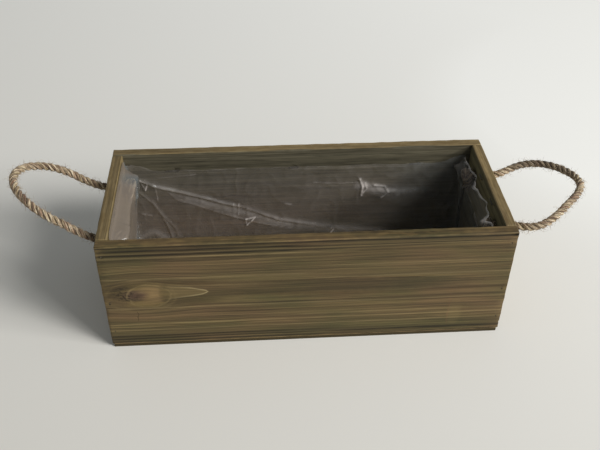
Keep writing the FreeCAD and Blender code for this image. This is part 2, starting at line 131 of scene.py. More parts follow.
def mesh_piece(name: str, points: list[Vector], faces: list[tuple[int, ...]],
               marks: list[Place] = ()) -> Object:
    """Make a piece from points in metres.

    Args:
        name: The piece's name.
        points: Vertex places.
        faces: Vertex indices of each face.
        marks: Place of each face corner on the strand map: round a fibre and along it.
    Returns:
        The linked object.
    """
    mesh = bpy.data.meshes.new(name)
    mesh.from_pydata(points, [], faces)
    mesh.update()
    if marks:
        for loop, mark in zip(mesh.uv_layers.new(name="strand").data, marks):
            loop.uv = mark
    return linked(name, mesh)


def add_attribute(piece: Object, name: str, values: list[float]) -> None:
    """Store one number for each vertex, for a material to read."""
    piece.data.attributes.new(name, "FLOAT", "POINT").data.foreach_set("value", values)


def dress(piece: Object, material: Material) -> None:
    """Give a piece its one material and its slot, and report it."""
    piece.data.materials.clear()
    piece.data.materials.append(material)
    LOG.info("%s: %d faces", piece.name, len(piece.data.polygons))


# ------------------------------------------------------------------ finishes
class Wiring:
    """A new material and the nodes that make it."""

    def __init__(self, name: str) -> None:
        """Start an empty node material of that name."""
        self.material = bpy.data.materials.new(name)
        self.material.use_nodes = True
        self.tree = self.material.node_tree
        self.tree.nodes.clear()

    def add(self, kind: str, *values: object, out: str = "",
            stops: list[tuple[float, str]] = (), **more: object) -> NodeSocket | None:
        """Add a shader node with its settings, values and links.

        Args:
            kind: Node type without its ShaderNode prefix, then its operation or data type.
            values: Numbers, hex colours or sockets for the inputs in use, in their order.
            out: Name of the output to hand back, or "" for the first one in use.
            stops: A colour ramp's positions and hex colours.
            more: Inputs by name, with _ for a blank, and attributes of the node.
        Returns:
            That output, or None if the node has none.
        """
        kind, _, choice = kind.partition(" ")
        node = self.tree.nodes.new("ShaderNode" + kind)
        if choice:
            setattr(node, "operation" if hasattr(node, "operation") else "data_type", choice)
        wires = list(zip([socket for socket in node.inputs if socket.enabled], values))
        for key, value in more.items():
            socket = node.inputs.get(key.replace("_", " "))
            if socket is None:
                setattr(node, key, value)
            else:
                wires.append((socket, value))
        for socket, value in wires:
            if isinstance(value, NodeSocket):
                self.tree.links.new(value, socket)
            else:
                socket.default_value = linear(value) if isinstance(value, str) else value
        for _ in stops[2:]:
            node.color_ramp.elements.new(0.5)
        for element, (position, code) in zip(node.color_ramp.elements if stops else (), stops):
            element.position, element.color = position, linear(code)
        found = [end for end in node.outputs if end.enabled and out in (end.name, "")]
        return found[0] if found else None


class Grain(Enum):
    """Which way the fibres of a board run; the value is that axis."""

    ALONG_X = 0
    ALONG_Y = 1


class Touch(Enum):
    """How a mark lies on the wood."""

    SOFT = "soft"
    CRISP = "crisp"
    SPECKLED = "speckled"
    OUTLINE = "outline"


@dataclass(frozen=True)
class Mark:
    """A patch on a board: its place, its half sizes in mm, its strength, tint and touch."""

    along: float
    up: float
    reach_along: float
    reach_up: float
    strength: float
    colour: str
    touch: Touch = Touch.SOFT


@dataclass(frozen=True)
class Knot:
    """A knot and the pointed tail where the rings close behind it, in mm."""

    along: float
    up: float
    reach_along: float
    reach_up: float
    tail: float = 0.0


@dataclass(frozen=True)
class Line:
    """A line along the grain: height, half width, strength, start, end (mm) and slope."""

    up: float
    half_width: float
    strength: float
    start: float = -260.0
    end: float = 260.0
    slope: float = 0.0


def line_stops(lines: list[Line]) -> list[tuple[float, str]]:
    """Colour ramp stops over a board's height that peak at each line.

    Args:
        lines: The lines, ten at most. A board without any pales evenly towards its rim.
    Returns:
        Stops in rising order.
    """
    edge, least_step, gamma = 1.7, 0.0008, 2.2
    stops = [(0.0, "000000")] if lines else [(0.0, "000000"), (1.0, "ffffff")]
    for line in sorted(lines, key=lambda item: item.up):
        grey = f"{round(255 * line.strength ** (1 / gamma)):02x}" * 3
        for offset, code in ((-edge, "000000"), (0.0, grey), (edge, "000000")):
            place = (line.up + offset * line.half_width) / RIM
            stops.append((max(place, stops[-1][0] + least_step), code))
    return stops


# Pine, sawn, planed and wiped with a thin water stain in olive brown, without varnish. The
# eye gets a matt board whose soft spring wood took more stain than the hard summer wood, so
# the rings show as brown and pale bands. Real fibres are 0.05 mm wide and wouldn't show in
# the picture, so they are drawn 0.4 mm wide, in streaks of about 1 mm.
@dataclass(frozen=True)
class StainedPine:
    """Stained pine for one board: how it was cut from the tree, its marks and its tone."""

    name: str
    grain: Grain
    seed: float
    pith_through: float
    pith_up: float
    ring: float = 3.4
    value: float = 0.44
    top_value: float = 0.85
    tint: str = "fff9e7"
    top_tint: str = "fff6e6"
    # The inner face, and how much darker and cooler it is painted for the shade inside the box.
    inward: Point = (0.0, 0.0, -1.0)
    inner_shade: float = 1.0
    inner_shade_tint: str = "fff9e7"
    knots: tuple[Knot, ...] = ()
    marks: tuple[Mark, ...] = ()
    dark_lines: tuple[Line, ...] = ()
    pale_lines: tuple[Line, ...] = ()

    def build(self) -> Material:
        """Make the material from Object coordinates."""
        return PineSurface(self).build()


class PineSurface(Wiring):
    """The nodes of one stained board."""

    def __init__(self, finish: StainedPine) -> None:
        """Find where a point lies: along the grain, through the board and up it, in mm."""
        super().__init__(finish.name)
        self.finish, add = finish, self.add
        millimetres = add("VectorMath SCALE", add("TexCoord", out="Object"), 1 / MM)
        self.along, self.through, self.up = add("SeparateXYZ", millimetres).node.outputs
        if finish.grain is Grain.ALONG_Y:
            self.along, self.through = self.through, self.along
        self.bent = self.up
        for knot in finish.knots:  # the fibres part where the tree grew round its branch
            beside = add("Math SUBTRACT", self.along, knot.along)
            above = add("Math SUBTRACT", self.up, knot.up)
            near = add("Math EXPONENT", add("Math MULTIPLY", -1.0, add(
                "Math ADD",
                add("Math POWER", add("Math DIVIDE", beside, 2.0 * knot.reach_along), 2.0),
                add("Math POWER", add("Math DIVIDE", above, 1.5 * knot.reach_up), 2.0))))
            self.bent = add("Math SUBTRACT", self.bent, add(
                "Math MULTIPLY", above, add("Math MULTIPLY", near, 0.8)))

    def cloud(self, reach_along: float, reach_across: float, shift: float,
              detail: float = 2.0, roughness: float = 0.5) -> NodeSocket:
        """Noise drawn out along the fibres.

        Args:
            reach_along: Size of its patches along the fibres, in mm.
            reach_across: Their size across the fibres, in mm.
            shift: Moves the pattern, so that each use has its own.
            detail: How many finer layers it has.
            roughness: How strong those are.
        Returns:
            The noise, 0.5 in the mean.
        """
        add, seed = self.add, self.finish.seed
        height = self.bent if reach_along > 13 else self.up
        spot = add("CombineXYZ", add("Math DIVIDE", self.along, reach_along),
                   add("Math DIVIDE", self.through, reach_across),
                   add("Math DIVIDE", height, reach_across))
        moved = add("VectorMath ADD", spot, (seed + shift, 7.3 * shift, -3.1 * seed))
        return add("TexNoise", moved, 1.0, detail, roughness)

    def centred(self, cloud: NodeSocket, amount: float) -> NodeSocket:
        """Noise turned to a number either side of nought."""
        return self.add("Math MULTIPLY", self.add("Math SUBTRACT", cloud, 0.5), 2 * amount)

    def rings(self) -> tuple[NodeSocket, NodeSocket]:
        """Growth rings round the pith: shares of brown summer wood and of pale lines."""
        add, cloud, centred, finish = self.add, self.cloud, self.centred, self.finish
        wander = add("Math ADD", centred(cloud(150, 38, 1.0), 4.5),
                     centred(cloud(45, 16, 2.0), 0.8))
        height = add("Math ADD", self.bent, wander)
        lift = add("Math SUBTRACT", height, finish.pith_up)
        depth = add("Math SUBTRACT", self.through, finish.pith_through)
        radius = add("Math SQRT", add("Math ADD", add("Math MULTIPLY", lift, lift),
                                      add("Math MULTIPLY", depth, depth)))
        year = add("Math FRACT", add("Math ADD", add("Math DIVIDE", radius, finish.ring),
                                     centred(cloud(500, 30, 3.0), 1.1)))
        brown = add("ValToRGB", year, stops=[
            (0.0, "606060"), (0.07, "ffffff"), (0.3, "909090"), (0.62, "303030"), (0.9, "000000")])
        pale = add("ValToRGB", year, stops=[
            (0.0, "909090"), (0.05, "000000"), (0.86, "000000"), (0.965, "ffffff"),
            (1.0, "b0b0b0")])
        brown_share = add("MapRange", cloud(170, 10, 4.0), 0.34, 0.66, 0.1, 0.8)
        pale_share = add("MapRange", cloud(130, 7, 4.7), 0.48, 0.72, 0.0, 0.5)
        return add("Math MULTIPLY", brown, brown_share), add("Math MULTIPLY", pale, pale_share)

    def marked(self, colour: NodeSocket) -> NodeSocket:
        """Lay the marks over a colour, all with one wavering outline."""
        add = self.add
        specks = add("MapRange", self.cloud(2.4, 1.5, 13.0), 0.5, 0.6)
        wobble = self.centred(self.cloud(11, 5, 8.0), 3.2)
        up, along = add("Math ADD", self.up, wobble), add("Math ADD", self.along, wobble)
        for mark in self.finish.marks:
            beside = add("Math MULTIPLY_ADD", along, 1 / mark.reach_along,
                         -mark.along / mark.reach_along)
            above = add("Math MULTIPLY_ADD", up, 1 / mark.reach_up, -mark.up / mark.reach_up)
            near = add("Math MULTIPLY_ADD", beside, beside, add("Math MULTIPLY", above, above))
            if mark.touch is Touch.OUTLINE:
                off = add("Math MULTIPLY", add("Math SUBTRACT", near, 1.0), 9.0)
                rim = add("Math EXPONENT", add("Math MULTIPLY", off,
                                               add("Math MULTIPLY", off, -1.0)))
                mask = add("Math MULTIPLY", add("Math MULTIPLY", rim, mark.strength), self.broken)
            else:
                inner, outer = (0.5, 1.3) if mark.touch is Touch.CRISP else (0.0, 2.4)
                mask = add("MapRange", near, inner, outer, mark.strength, 0.0,
                           interpolation_type="SMOOTHSTEP")
            if mark.touch is Touch.SPECKLED:
                mask = add("Math MULTIPLY", mask, specks)
            colour = add("Mix RGBA", mask, colour, mark.colour)
        return colour

    def tailed(self, colour: NodeSocket) -> NodeSocket:
        """Close the rings to a pale point behind each knot that has a tail."""
        add = self.add
        for knot in (knot for knot in self.finish.knots if knot.tail):
            ahead = add("Math SUBTRACT", self.along, knot.along)
            left = add("Math MAXIMUM", add("Math SUBTRACT", knot.tail, ahead), 0.0)
            width = add("Math MULTIPLY", add("Math SQRT", left), 1.27)
            offset = add("Math SUBTRACT", add("Math ABSOLUTE", add(
                "Math ADD", add("Math SUBTRACT", self.up, knot.up),
                self.centred(self.cloud(22, 30, 8.5), 1.2))), width)
            behind = add("MapRange", ahead, 0.35 * knot.tail, 0.95 * knot.tail, 0.0, 0.85)
            ended = add("MapRange", ahead, knot.tail, knot.tail + 1.5, 1.0, 0.0)
            within = add("MapRange", offset, 0.4, -0.8, 0.0, 0.45)
            begun = add("MapRange", ahead, 0.2 * knot.tail, 0.45 * knot.tail)
            line = add("Math MULTIPLY", add("Math MULTIPLY", behind, ended), add(
                "Math EXPONENT", add("Math MULTIPLY", -1.0, add(
                    "Math POWER", add("Math DIVIDE", offset, 0.75), 2.0))))
            colour = add("Mix RGBA", add("Math MULTIPLY", within, begun), colour, "b09c70")
            colour = add("Mix RGBA", line, colour, "e6d4a8")
        return colour

    def lined(self, colour: NodeSocket) -> NodeSocket:
        """Draw the lines along the grain, some at one end of the board only."""
        add = self.add
        rightward = add("MapRange", add(
            "Math ADD", self.along, self.centred(self.cloud(60, 8, 3.3), 70.0)), -15.0, 55.0)
        level = add("Math DIVIDE", add(
            "Math ADD", self.up, self.centred(self.cloud(90, 30, 5.1), 0.5)), RIM)
        for lines, tone in ((self.finish.dark_lines, "100e08"), (self.finish.pale_lines, "d2bd90")):
            ends = ([line for line in lines if line.start < -50], [
                line for line in lines if line.end > 50])
            halves = [add("SeparateXYZ", add("ValToRGB", level, stops=line_stops(half)))
                      for half in ends]
            mask = add("Math MULTIPLY", add("Mix FLOAT", rightward, *halves), self.broken)
            colour = add("Mix RGBA", mask, colour, tone)
        return colour

    def build(self) -> Material:
        """Wire rings, fibres, marks, lines and wear to one surface."""
        add, cloud, finish = self.add, self.cloud, self.finish
        brown, pale = self.rings()
        streaks, broad = cloud(120, 1.15, 5.0, 5.0, 0.6), cloud(190, 6.5, 11.0, 3.0, 0.55)
        fibres, patches = cloud(14, 0.38, 6.0, 2.0, 0.6), cloud(85, 24, 7.0, 2.0)

        # Olive over the spring wood, brown where the stain soaked in.
        ground = add("ValToRGB", patches, stops=[(0.3, "827a54"), (0.5, "92805c"), (0.7, "9c8262")])
        tone = add("MapRange", streaks, 0.32, 0.68, 0.62, 1.32)
        bands = add("MapRange", broad, 0.3, 0.7, 0.7, 1.25)
        fleck = add("MapRange", fibres, 0.3, 0.72, 0.88, 1.1)

        # The rim is given its own tone; the inner face is painted darker and cooler, as the shade
        # inside the box.
        normal = add("NewGeometry", out="Normal")
        faces_up = add("MapRange", add("SeparateXYZ", normal, out="Z"), 0.6, 0.9)
        faces_in = add("MapRange", add("VectorMath DOT_PRODUCT", normal, finish.inward), 0.6, 0.9)
        facing_tone_and_shade = add(
            "Math MULTIPLY",
            add("MapRange", faces_up, 0.0, 1.0, finish.value, finish.value * finish.top_value),
            add("MapRange", faces_in, 0.0, 1.0, 1.0, finish.inner_shade))
        shade = add("Math MULTIPLY", add("Math MULTIPLY", tone, fleck),
                    add("Math MULTIPLY", bands, facing_tone_and_shade))

        colour = add("Mix RGBA", brown, ground, "55422b")
        colour = add("Mix RGBA", pale, colour, "c8b286")
        self.broken = add("MapRange", cloud(34, 3, 9.5), 0.25, 0.5, 0.4, 1.0)
        colour = self.lined(self.tailed(self.marked(colour)))

        # Handling has rubbed the stain thin along the arrises; the wood is darker in and round the
        # holes.
        rub = add("Math MULTIPLY", add("Attribute", out="Fac", attribute_name="rubbed"),
                  add("MapRange", cloud(10, 4, 12.0), 0.45, 0.66, 0.0, 0.75))
        colour = add("Mix RGBA", rub, colour, "b39b6b")
        dark_at_holes = add("Attribute", out="Fac", attribute_name="dark_at_holes")
        colour = add("Mix RGBA", add("Math MULTIPLY", dark_at_holes, 0.8), colour, "2a2115")
        toned = add("VectorMath SCALE", colour, shade)
        # Painted shade: a cooler tint on the inner face.
        tint = add("Mix RGBA", faces_up, finish.tint, finish.top_tint)
        tint = add("Mix RGBA", faces_in, tint, finish.inner_shade_tint)
        toned = add("VectorMath MULTIPLY", toned, tint)

        raised = add("Math ADD", add("Math MULTIPLY", brown, 0.5), add(
            "Math ADD", add("Math MULTIPLY", streaks, 0.8), add("Math MULTIPLY", fibres, 0.35)))
        bump = add("Bump", Strength=0.55, Distance=0.35 * MM, Height=raised)
        rough = add("MapRange", streaks, 0.3, 0.7, 0.56, 0.78)
        add("OutputMaterial", add("BsdfPrincipled", Base_Color=toned, Roughness=rough,
                                  Normal=bump, Specular_IOR_Level=0.32))
        return self.material


# Birch plywood, peeled and pressed, raw on its faces, its cut edge painted dark for the shade
# in the seam under the walls. The eye gets a pale broad grain inside the box and a dark seam
# line of painted shade outside.
@dataclass(frozen=True)
class Plywood:
    """Thin raw birch plywood."""

    name: str = "birch_ply_raw"

    def build(self) -> Material:
        """Make the material from Object coordinates."""
        wiring = Wiring(self.name)
        add = wiring.add
        place = add("TexCoord", out="Object")
        grain = add("TexNoise", add("Mapping", place, Scale=(9.0, 120.0, 900.0)), 1.0, 4.0, 0.62)
        fine = add("TexNoise", add("Mapping", place, Scale=(60.0, 1500.0, 1500.0)), 1.0)
        face = add("ValToRGB", grain, stops=[(0.3, "8f7752"), (0.5, "a68d64"), (0.7, "b59c72")])
        face = add("Mix RGBA", 0.3, face, add(
            "ValToRGB", fine, stops=[(0.35, "6f5b3c"), (0.7, "c1a97f")]))
        up = add("SeparateXYZ", add("NewGeometry", out="Normal"), out="Z")
        flat = add("MapRange", add("Math ABSOLUTE", up), 0.4, 0.8)
        # Painted shade: the cut edge, in the seam under the walls, is dark.
        colour = add("Mix RGBA", flat, "40361f", face)
        bump = add("Bump", Strength=0.4, Distance=0.2 * MM, Height=grain)
        add("OutputMaterial", add("BsdfPrincipled", Base_Color=colour, Roughness=0.72,
                                  Normal=bump, Specular_IOR_Level=0.3))
        return wiring.material


# Jute, spun from coarse bast fibre and laid up dry in three strands. The eye gets a matt,
# hairy cord of mixed straw, red-brown and olive fibres, with painted shade in the grooves
# between them. Real fibres are 0.05 mm wide; here they are drawn 0.9 mm wide, as thin as the
# picture can show.
@dataclass(frozen=True)
class Jute:
    """Three-strand jute rope, coloured along its strands by its own strand map."""

    name: str = "jute_three_strand"

    def build(self) -> Material:
        """Make the material from the strand map, in metres."""
        wiring = Wiring(self.name)
        add = wiring.add
        strand = add("UVMap", uv_map="strand")
        fine = add("TexNoise", add("Mapping", strand, Scale=(1100.0, 130.0, 1.0)), 1.0, 3.0, 0.65)
        broad = add("TexNoise", add("Mapping", strand, Scale=(330.0, 34.0, 1.0)), 1.0)
        colour = add("ValToRGB", add("Mix FLOAT", 0.3, fine, broad), stops=[
            (0.4, "3f3127"), (0.47, "846f5c"), (0.53, "b39f80"), (0.62, "f4e6ca")])
        batch = add("TexNoise", add("Mapping", strand, Location=(7.0, 3.0, 0.0),
                                    Scale=(500.0, 55.0, 1.0)), 1.0)
        reddish = add("MapRange", batch, 0.5, 0.66, 0.0, 0.5)
        olive = add("MapRange", batch, 0.46, 0.32, 0.0, 0.5)
        colour = add("Mix RGBA", reddish, colour, "845d49")
        colour = add("Mix RGBA", olive, colour, "8a7d4e")
        shade_and_stain = add("Attribute", out="Fac", attribute_name="stained")
        groove = add("Attribute", out="Fac", attribute_name="groove")
        # Painted shadow and shade: the box's shadow by the left holes, the shade on the right end's
        # knots, and a darker stretch over the right loop.
        colour = add("Mix RGBA", shade_and_stain, colour, "4a4138")
        # Painted shade in the grooves between strands and yarns.
        colour = add("Mix RGBA", groove, colour, "35281a")
        bump = add("Bump", Strength=0.7, Distance=0.35 * MM, Height=fine)
        add("OutputMaterial", add(
            "BsdfPrincipled", Base_Color=colour, Roughness=0.82, Normal=bump,
            Specular_IOR_Level=0.3, Sheen_Weight=0.12, Sheen_Roughness=0.5))
        return wiring.material


# Polyethylene film, blown thin and folded for packing. The eye looks through it and meets a
# faint milky haze, white where it has been creased, with painted glints where its folds catch the
# light, a painted cool grey where it hangs in shade, and window light where it lies aslant.
@dataclass(frozen=True)
class ClearFilm:
    """Clear film: creases whiten it, with painted glints; a veil clouds it, cool grey as painted
    shade.
    """

    name: str = "polyethylene_film"

    def build(self) -> Material:
        """Make the material from Object coordinates and the film's two attributes."""
        wiring = Wiring(self.name)
        add = wiring.add
        place = add("TexCoord", out="Object")
        crease = add("Attribute", out="Fac", attribute_name="crease")
        haze = add("TexNoise", place, 28.0, 3.0, 0.6)
        scratch = add("TexNoise", add("Mapping", place, Scale=(22.0, 22.0, 240.0)), 1.0)
        haze = add("MapRange", haze, 0.35, 0.7, 0.035, 0.08)
        scratch = add("MapRange", scratch, 0.62, 0.8, 0.0, 0.03)
        # Creases whiten the film; painted glints ride on the same values.
        milk = add("Math ADD", add("Math ADD", haze, scratch), crease, use_clamp=True)
        fine = add("TexNoise", place, 130.0, 3.0)
        bump = add("Bump", Strength=0.3, Distance=0.6 * MM, Height=fine)
        steep = add("Math POWER", add("LayerWeight", 0.5, bump, out="Facing"), 5.0)
        clear = add("BsdfTransparent", (0.98, 0.98, 0.975, 1.0))
        veil_and_shade_tint = add("Attribute", out="Fac", attribute_name="veil_and_shade_tint")
        milk = add("Math ADD", milk, veil_and_shade_tint, use_clamp=True)
        # Painted shade: the ramp's middle is a cool grey, for the bluish shade at the right end and
        # on the back wall's right.
        milky = add("ValToRGB", veil_and_shade_tint, stops=[
            (0.0, "d8cdc6"), (0.16, "a09f9d"), (0.42, "7b8285"), (0.6, "8c8074")])
        skin = add("BsdfPrincipled", Base_Color=milky, Roughness=0.35, Normal=bump)
        mirror = add("BsdfPrincipled", Base_Color="eef4f6", Metallic=1.0, Roughness=0.24,
                     Normal=bump)
        hazy = add("MixShader", milk, clear, skin)
        shining = add("Math MULTIPLY_ADD", steep, 0.9, 0.07, use_clamp=True)
        matt = add("MapRange", veil_and_shade_tint, 0.05, 0.6, 1.0, 0.3)
        shaded = add("MapRange", crease, -0.12, 0.0, 0.12)
        shining = add("Math MULTIPLY", shining, add("Math MULTIPLY", matt, shaded))
        add("OutputMaterial", add("MixShader", shining, hazy, mirror))
        return wiring.material


# Steel wire, drawn, washed with zinc and cut into brads and staples. The eye gets a dull
# grey glint with small dark stains.
@dataclass(frozen=True)
class Steel:
    """Zinc-washed steel wire."""

    name: str
    colour: str
    roughness: float

    def build(self) -> Material:
        """Make the material from Object coordinates."""
        wiring = Wiring(self.name)
        add = wiring.add
        spots = add("TexNoise", add("TexCoord", out="Object"), 900.0)
        colour = add("Mix RGBA", spots, self.colour, "5d564b")
        rough = add("MapRange", spots, 0.0, 1.0, self.roughness, self.roughness + 0.25)
        add("OutputMaterial", add("BsdfPrincipled", Base_Color=colour, Roughness=rough,
                                  Metallic=1.0))
        return wiring.material


# ------------------------------------------------------------------ boards
@dataclass
class WallBoard:
    """One wall of the box, worked up from its own packed blank, in mm."""

    node: str
    finish: StainedPine
    grooves: tuple[Line, ...] = ()
    holes: tuple[Place, ...] = ()
    arris: float = 0.8        # how near two faces a point counts as on their edge
    station: float = 9.0      # from one cut across the grain to the next
    row: float = 4.6          # from one cut along the grain to the next
    margin: float = 1.2       # no cut lies nearer the board's edges
    groove_depth: float = 0.45
    dark_from: float = 4.3    # darkest out to this far from a hole's middle, then fading

    def copy_blank(self) -> Object:
        """Copy the node's mesh, join its triangles and clear the lines inside flat faces."""
        piece = linked(f"{self.node}_sawn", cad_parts[self.node].data.copy())
        take_up(piece)
        bpy.ops.object.mode_set(mode="EDIT")
        bpy.ops.mesh.select_all(action="SELECT")
        bpy.ops.mesh.remove_doubles(threshold=0.01 * MM)
        bpy.ops.mesh.dissolve_limited(angle_limit=math.radians(0.5))
        return piece

    def score(self, axis: int, level: float) -> None:
        """Cut a line round the board where one coordinate has that value."""
        normal = Vector(float(i == axis) for i in range(3))
        bpy.ops.mesh.select_all(action="SELECT")
        bpy.ops.mesh.bisect(plane_co=normal * level * MM, plane_no=normal)

    def levels(self, low: float, high: float) -> list[float]:
        """Heights of the lines along the grain: close at each groove, wider between."""
        wanted = [line.up + share * line.half_width
                  for line in self.grooves for share in (-1.6, -0.5, 0.5, 1.6)]
        level = low + self.row / 2 - 0.1
        while level < high - 2.0:
            wanted.append(level)
            level += self.row
        kept: list[float] = []
        for item in sorted(wanted):
            clear = not kept or item - kept[-1] > 0.3
            if clear and low + self.margin < item < high - self.margin:
                kept.append(item)
        return kept

    def build(self) -> Object:
        """Score the blank along and across the grain, raise its grain and wear its edges."""
        low, high = (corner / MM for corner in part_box(self.node))
        axis = self.finish.grain.value
        piece = self.copy_blank()
        for level in self.levels(low.z, high.z):
            self.score(2, level)
        count = round((high[axis] - low[axis]) / self.station)
        for step in range(1, count):
            shift = 1.5 * flow(step * 0.7, self.finish.seed, 0.0)
            self.score(axis, mix(low[axis], high[axis], step / count) + shift)
        bpy.ops.object.mode_set(mode="OBJECT")
        self.raise_grain(piece, low, high)
        take_up(piece)
        bpy.ops.object.shade_smooth_by_angle(angle=math.radians(32))
        dress(piece, self.finish.build())
        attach(piece, "planter")
        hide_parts(self.node)
        return piece

    def depth(self, spot: Vector) -> float:
        """How far the wood lies back at a place on a face: in its grooves and its ripple."""
        axis, blend = self.finish.grain.value, 10
        along, back = spot[axis], 0.0
        for line in self.grooves:
            begun = smooth(line.start - blend, line.start + blend, along)
            ended = smooth(line.end - blend, line.end + blend, along)
            off = spot.z - line.up - line.slope * along
            back += self.groove_depth * line.strength * bell(off, line.half_width) * (begun - ended)
        ripple = flow(along / 70, spot.z / 3.2, self.finish.seed + spot[1 - axis] / 9)
        return back + 0.10 * (ripple + 0.6)

    def wear(self, spot: Vector) -> float:
        """How far an edge is rounded over and nicked at a place."""
        axis, seed = self.finish.grain.value, self.finish.seed
        along, through = spot[axis], spot[1 - axis]
        worn = 0.22 + 0.3 * flow(along / 7.0, spot.z / 7.0, seed + through)
        nick = flow(along / 3.1, spot.z / 3.1, 9.0 + through / 5) - 0.42
        return max(0.0, worn) + 1.2 * max(0.0, nick)

    def raise_grain(self, piece: Object, low: Vector, high: Vector) -> None:
        """Press the grooves in, ripple the faces a little and knock the arrises back.

        Args:
            piece: The scored board.
            low: Its lowest corner, in mm.
            high: Its highest corner, in mm.
        """
        thin, middle = 1 - self.finish.grain.value, (low + high) / 2
        rubbed: list[float] = []
        dark_at_holes: list[float] = []
        for vertex in piece.data.vertices:
            spot = vertex.co / MM
            gaps = [min(spot[i] - low[i], high[i] - spot[i]) for i in range(3)]
            inward = [-1 if spot[i] > middle[i] else 1 for i in range(3)]
            nearest, second = sorted(gaps)[:2]
            move = Vector((0.0, 0.0, 0.0))
            if second <= self.arris:
                worn = self.wear(spot)
                for i in range(3):
                    if gaps[i] < self.arris:
                        move[i] = worn * inward[i]
            elif gaps[thin] < 0.05:
                move[thin] = self.depth(spot) * inward[thin]
            kept = [min(max(spot[i] + move[i], low[i]), high[i]) for i in range(3)]
            vertex.co = Vector(kept) * MM
            rubbed.append(bell(math.hypot(nearest, second), 1.3))
            to_hole = min((math.dist((spot.y, spot.z), hole) for hole in self.holes), default=99.0)
            # Darker in and round the rope holes.
            dark_at_holes.append(bell(max(0.0, to_hole - self.dark_from), 1.6))
        add_attribute(piece, "rubbed", rubbed)
        add_attribute(piece, "dark_at_holes", dark_at_holes)


# ------------------------------------------------------------------ rope
def centreline(name: str, places: list[Vector]) -> list[Vector]:
    """Lay one NURBS line through a route's control points and read its points back.

    Args:
        name: The line's name.
        places: Control points, in metres.
    Returns:
        Close points along the smooth line.
    """
    curve = bpy.data.curves.new(name, "CURVE")
    curve.dimensions, curve.resolution_u = "3D", 24
    spline = curve.splines.new("NURBS")
    spline.points.add(len(places) - 1)
    for point, place in zip(spline.points, places):
        point.co = (*place, 1.0)
    spline.order_u, spline.use_endpoint_u = 3, True
    holder = bpy.data.objects.new(name, curve)
    bare = bpy.data.meshes.new_from_object(holder)
    line = [vertex.co.copy() for vertex in bare.vertices]
    bpy.data.meshes.remove(bare)
    bpy.data.objects.remove(holder)
    bpy.data.curves.remove(curve)
    return line


def headings(line: list[Vector]) -> list[Vector]:
    """The forward direction at each point of a line."""
    last = len(line) - 1
    return [(line[min(i + 1, last)] - line[max(i - 1, 0)]).normalized() for i in range(last + 1)]


def carried_frames(line: list[Vector]) -> list[tuple[Vector, Vector, Vector]]:
    """Carry one pair of cross directions along a line without twist.

    Args:
        line: Close points.
    Returns:
        For each point its forward, side and up directions.
    """
    frames: list[tuple[Vector, Vector, Vector]] = []
    side = Vector((0.0, 0.0, 1.0))
    for forward in headings(line):
        if not frames and abs(forward.dot(side)) > 0.9:
            side = Vector((0.0, 1.0, 0.0))
        side = (side - forward * side.dot(forward)).normalized()
        frames.append((forward, side, forward.cross(side)))
    return frames


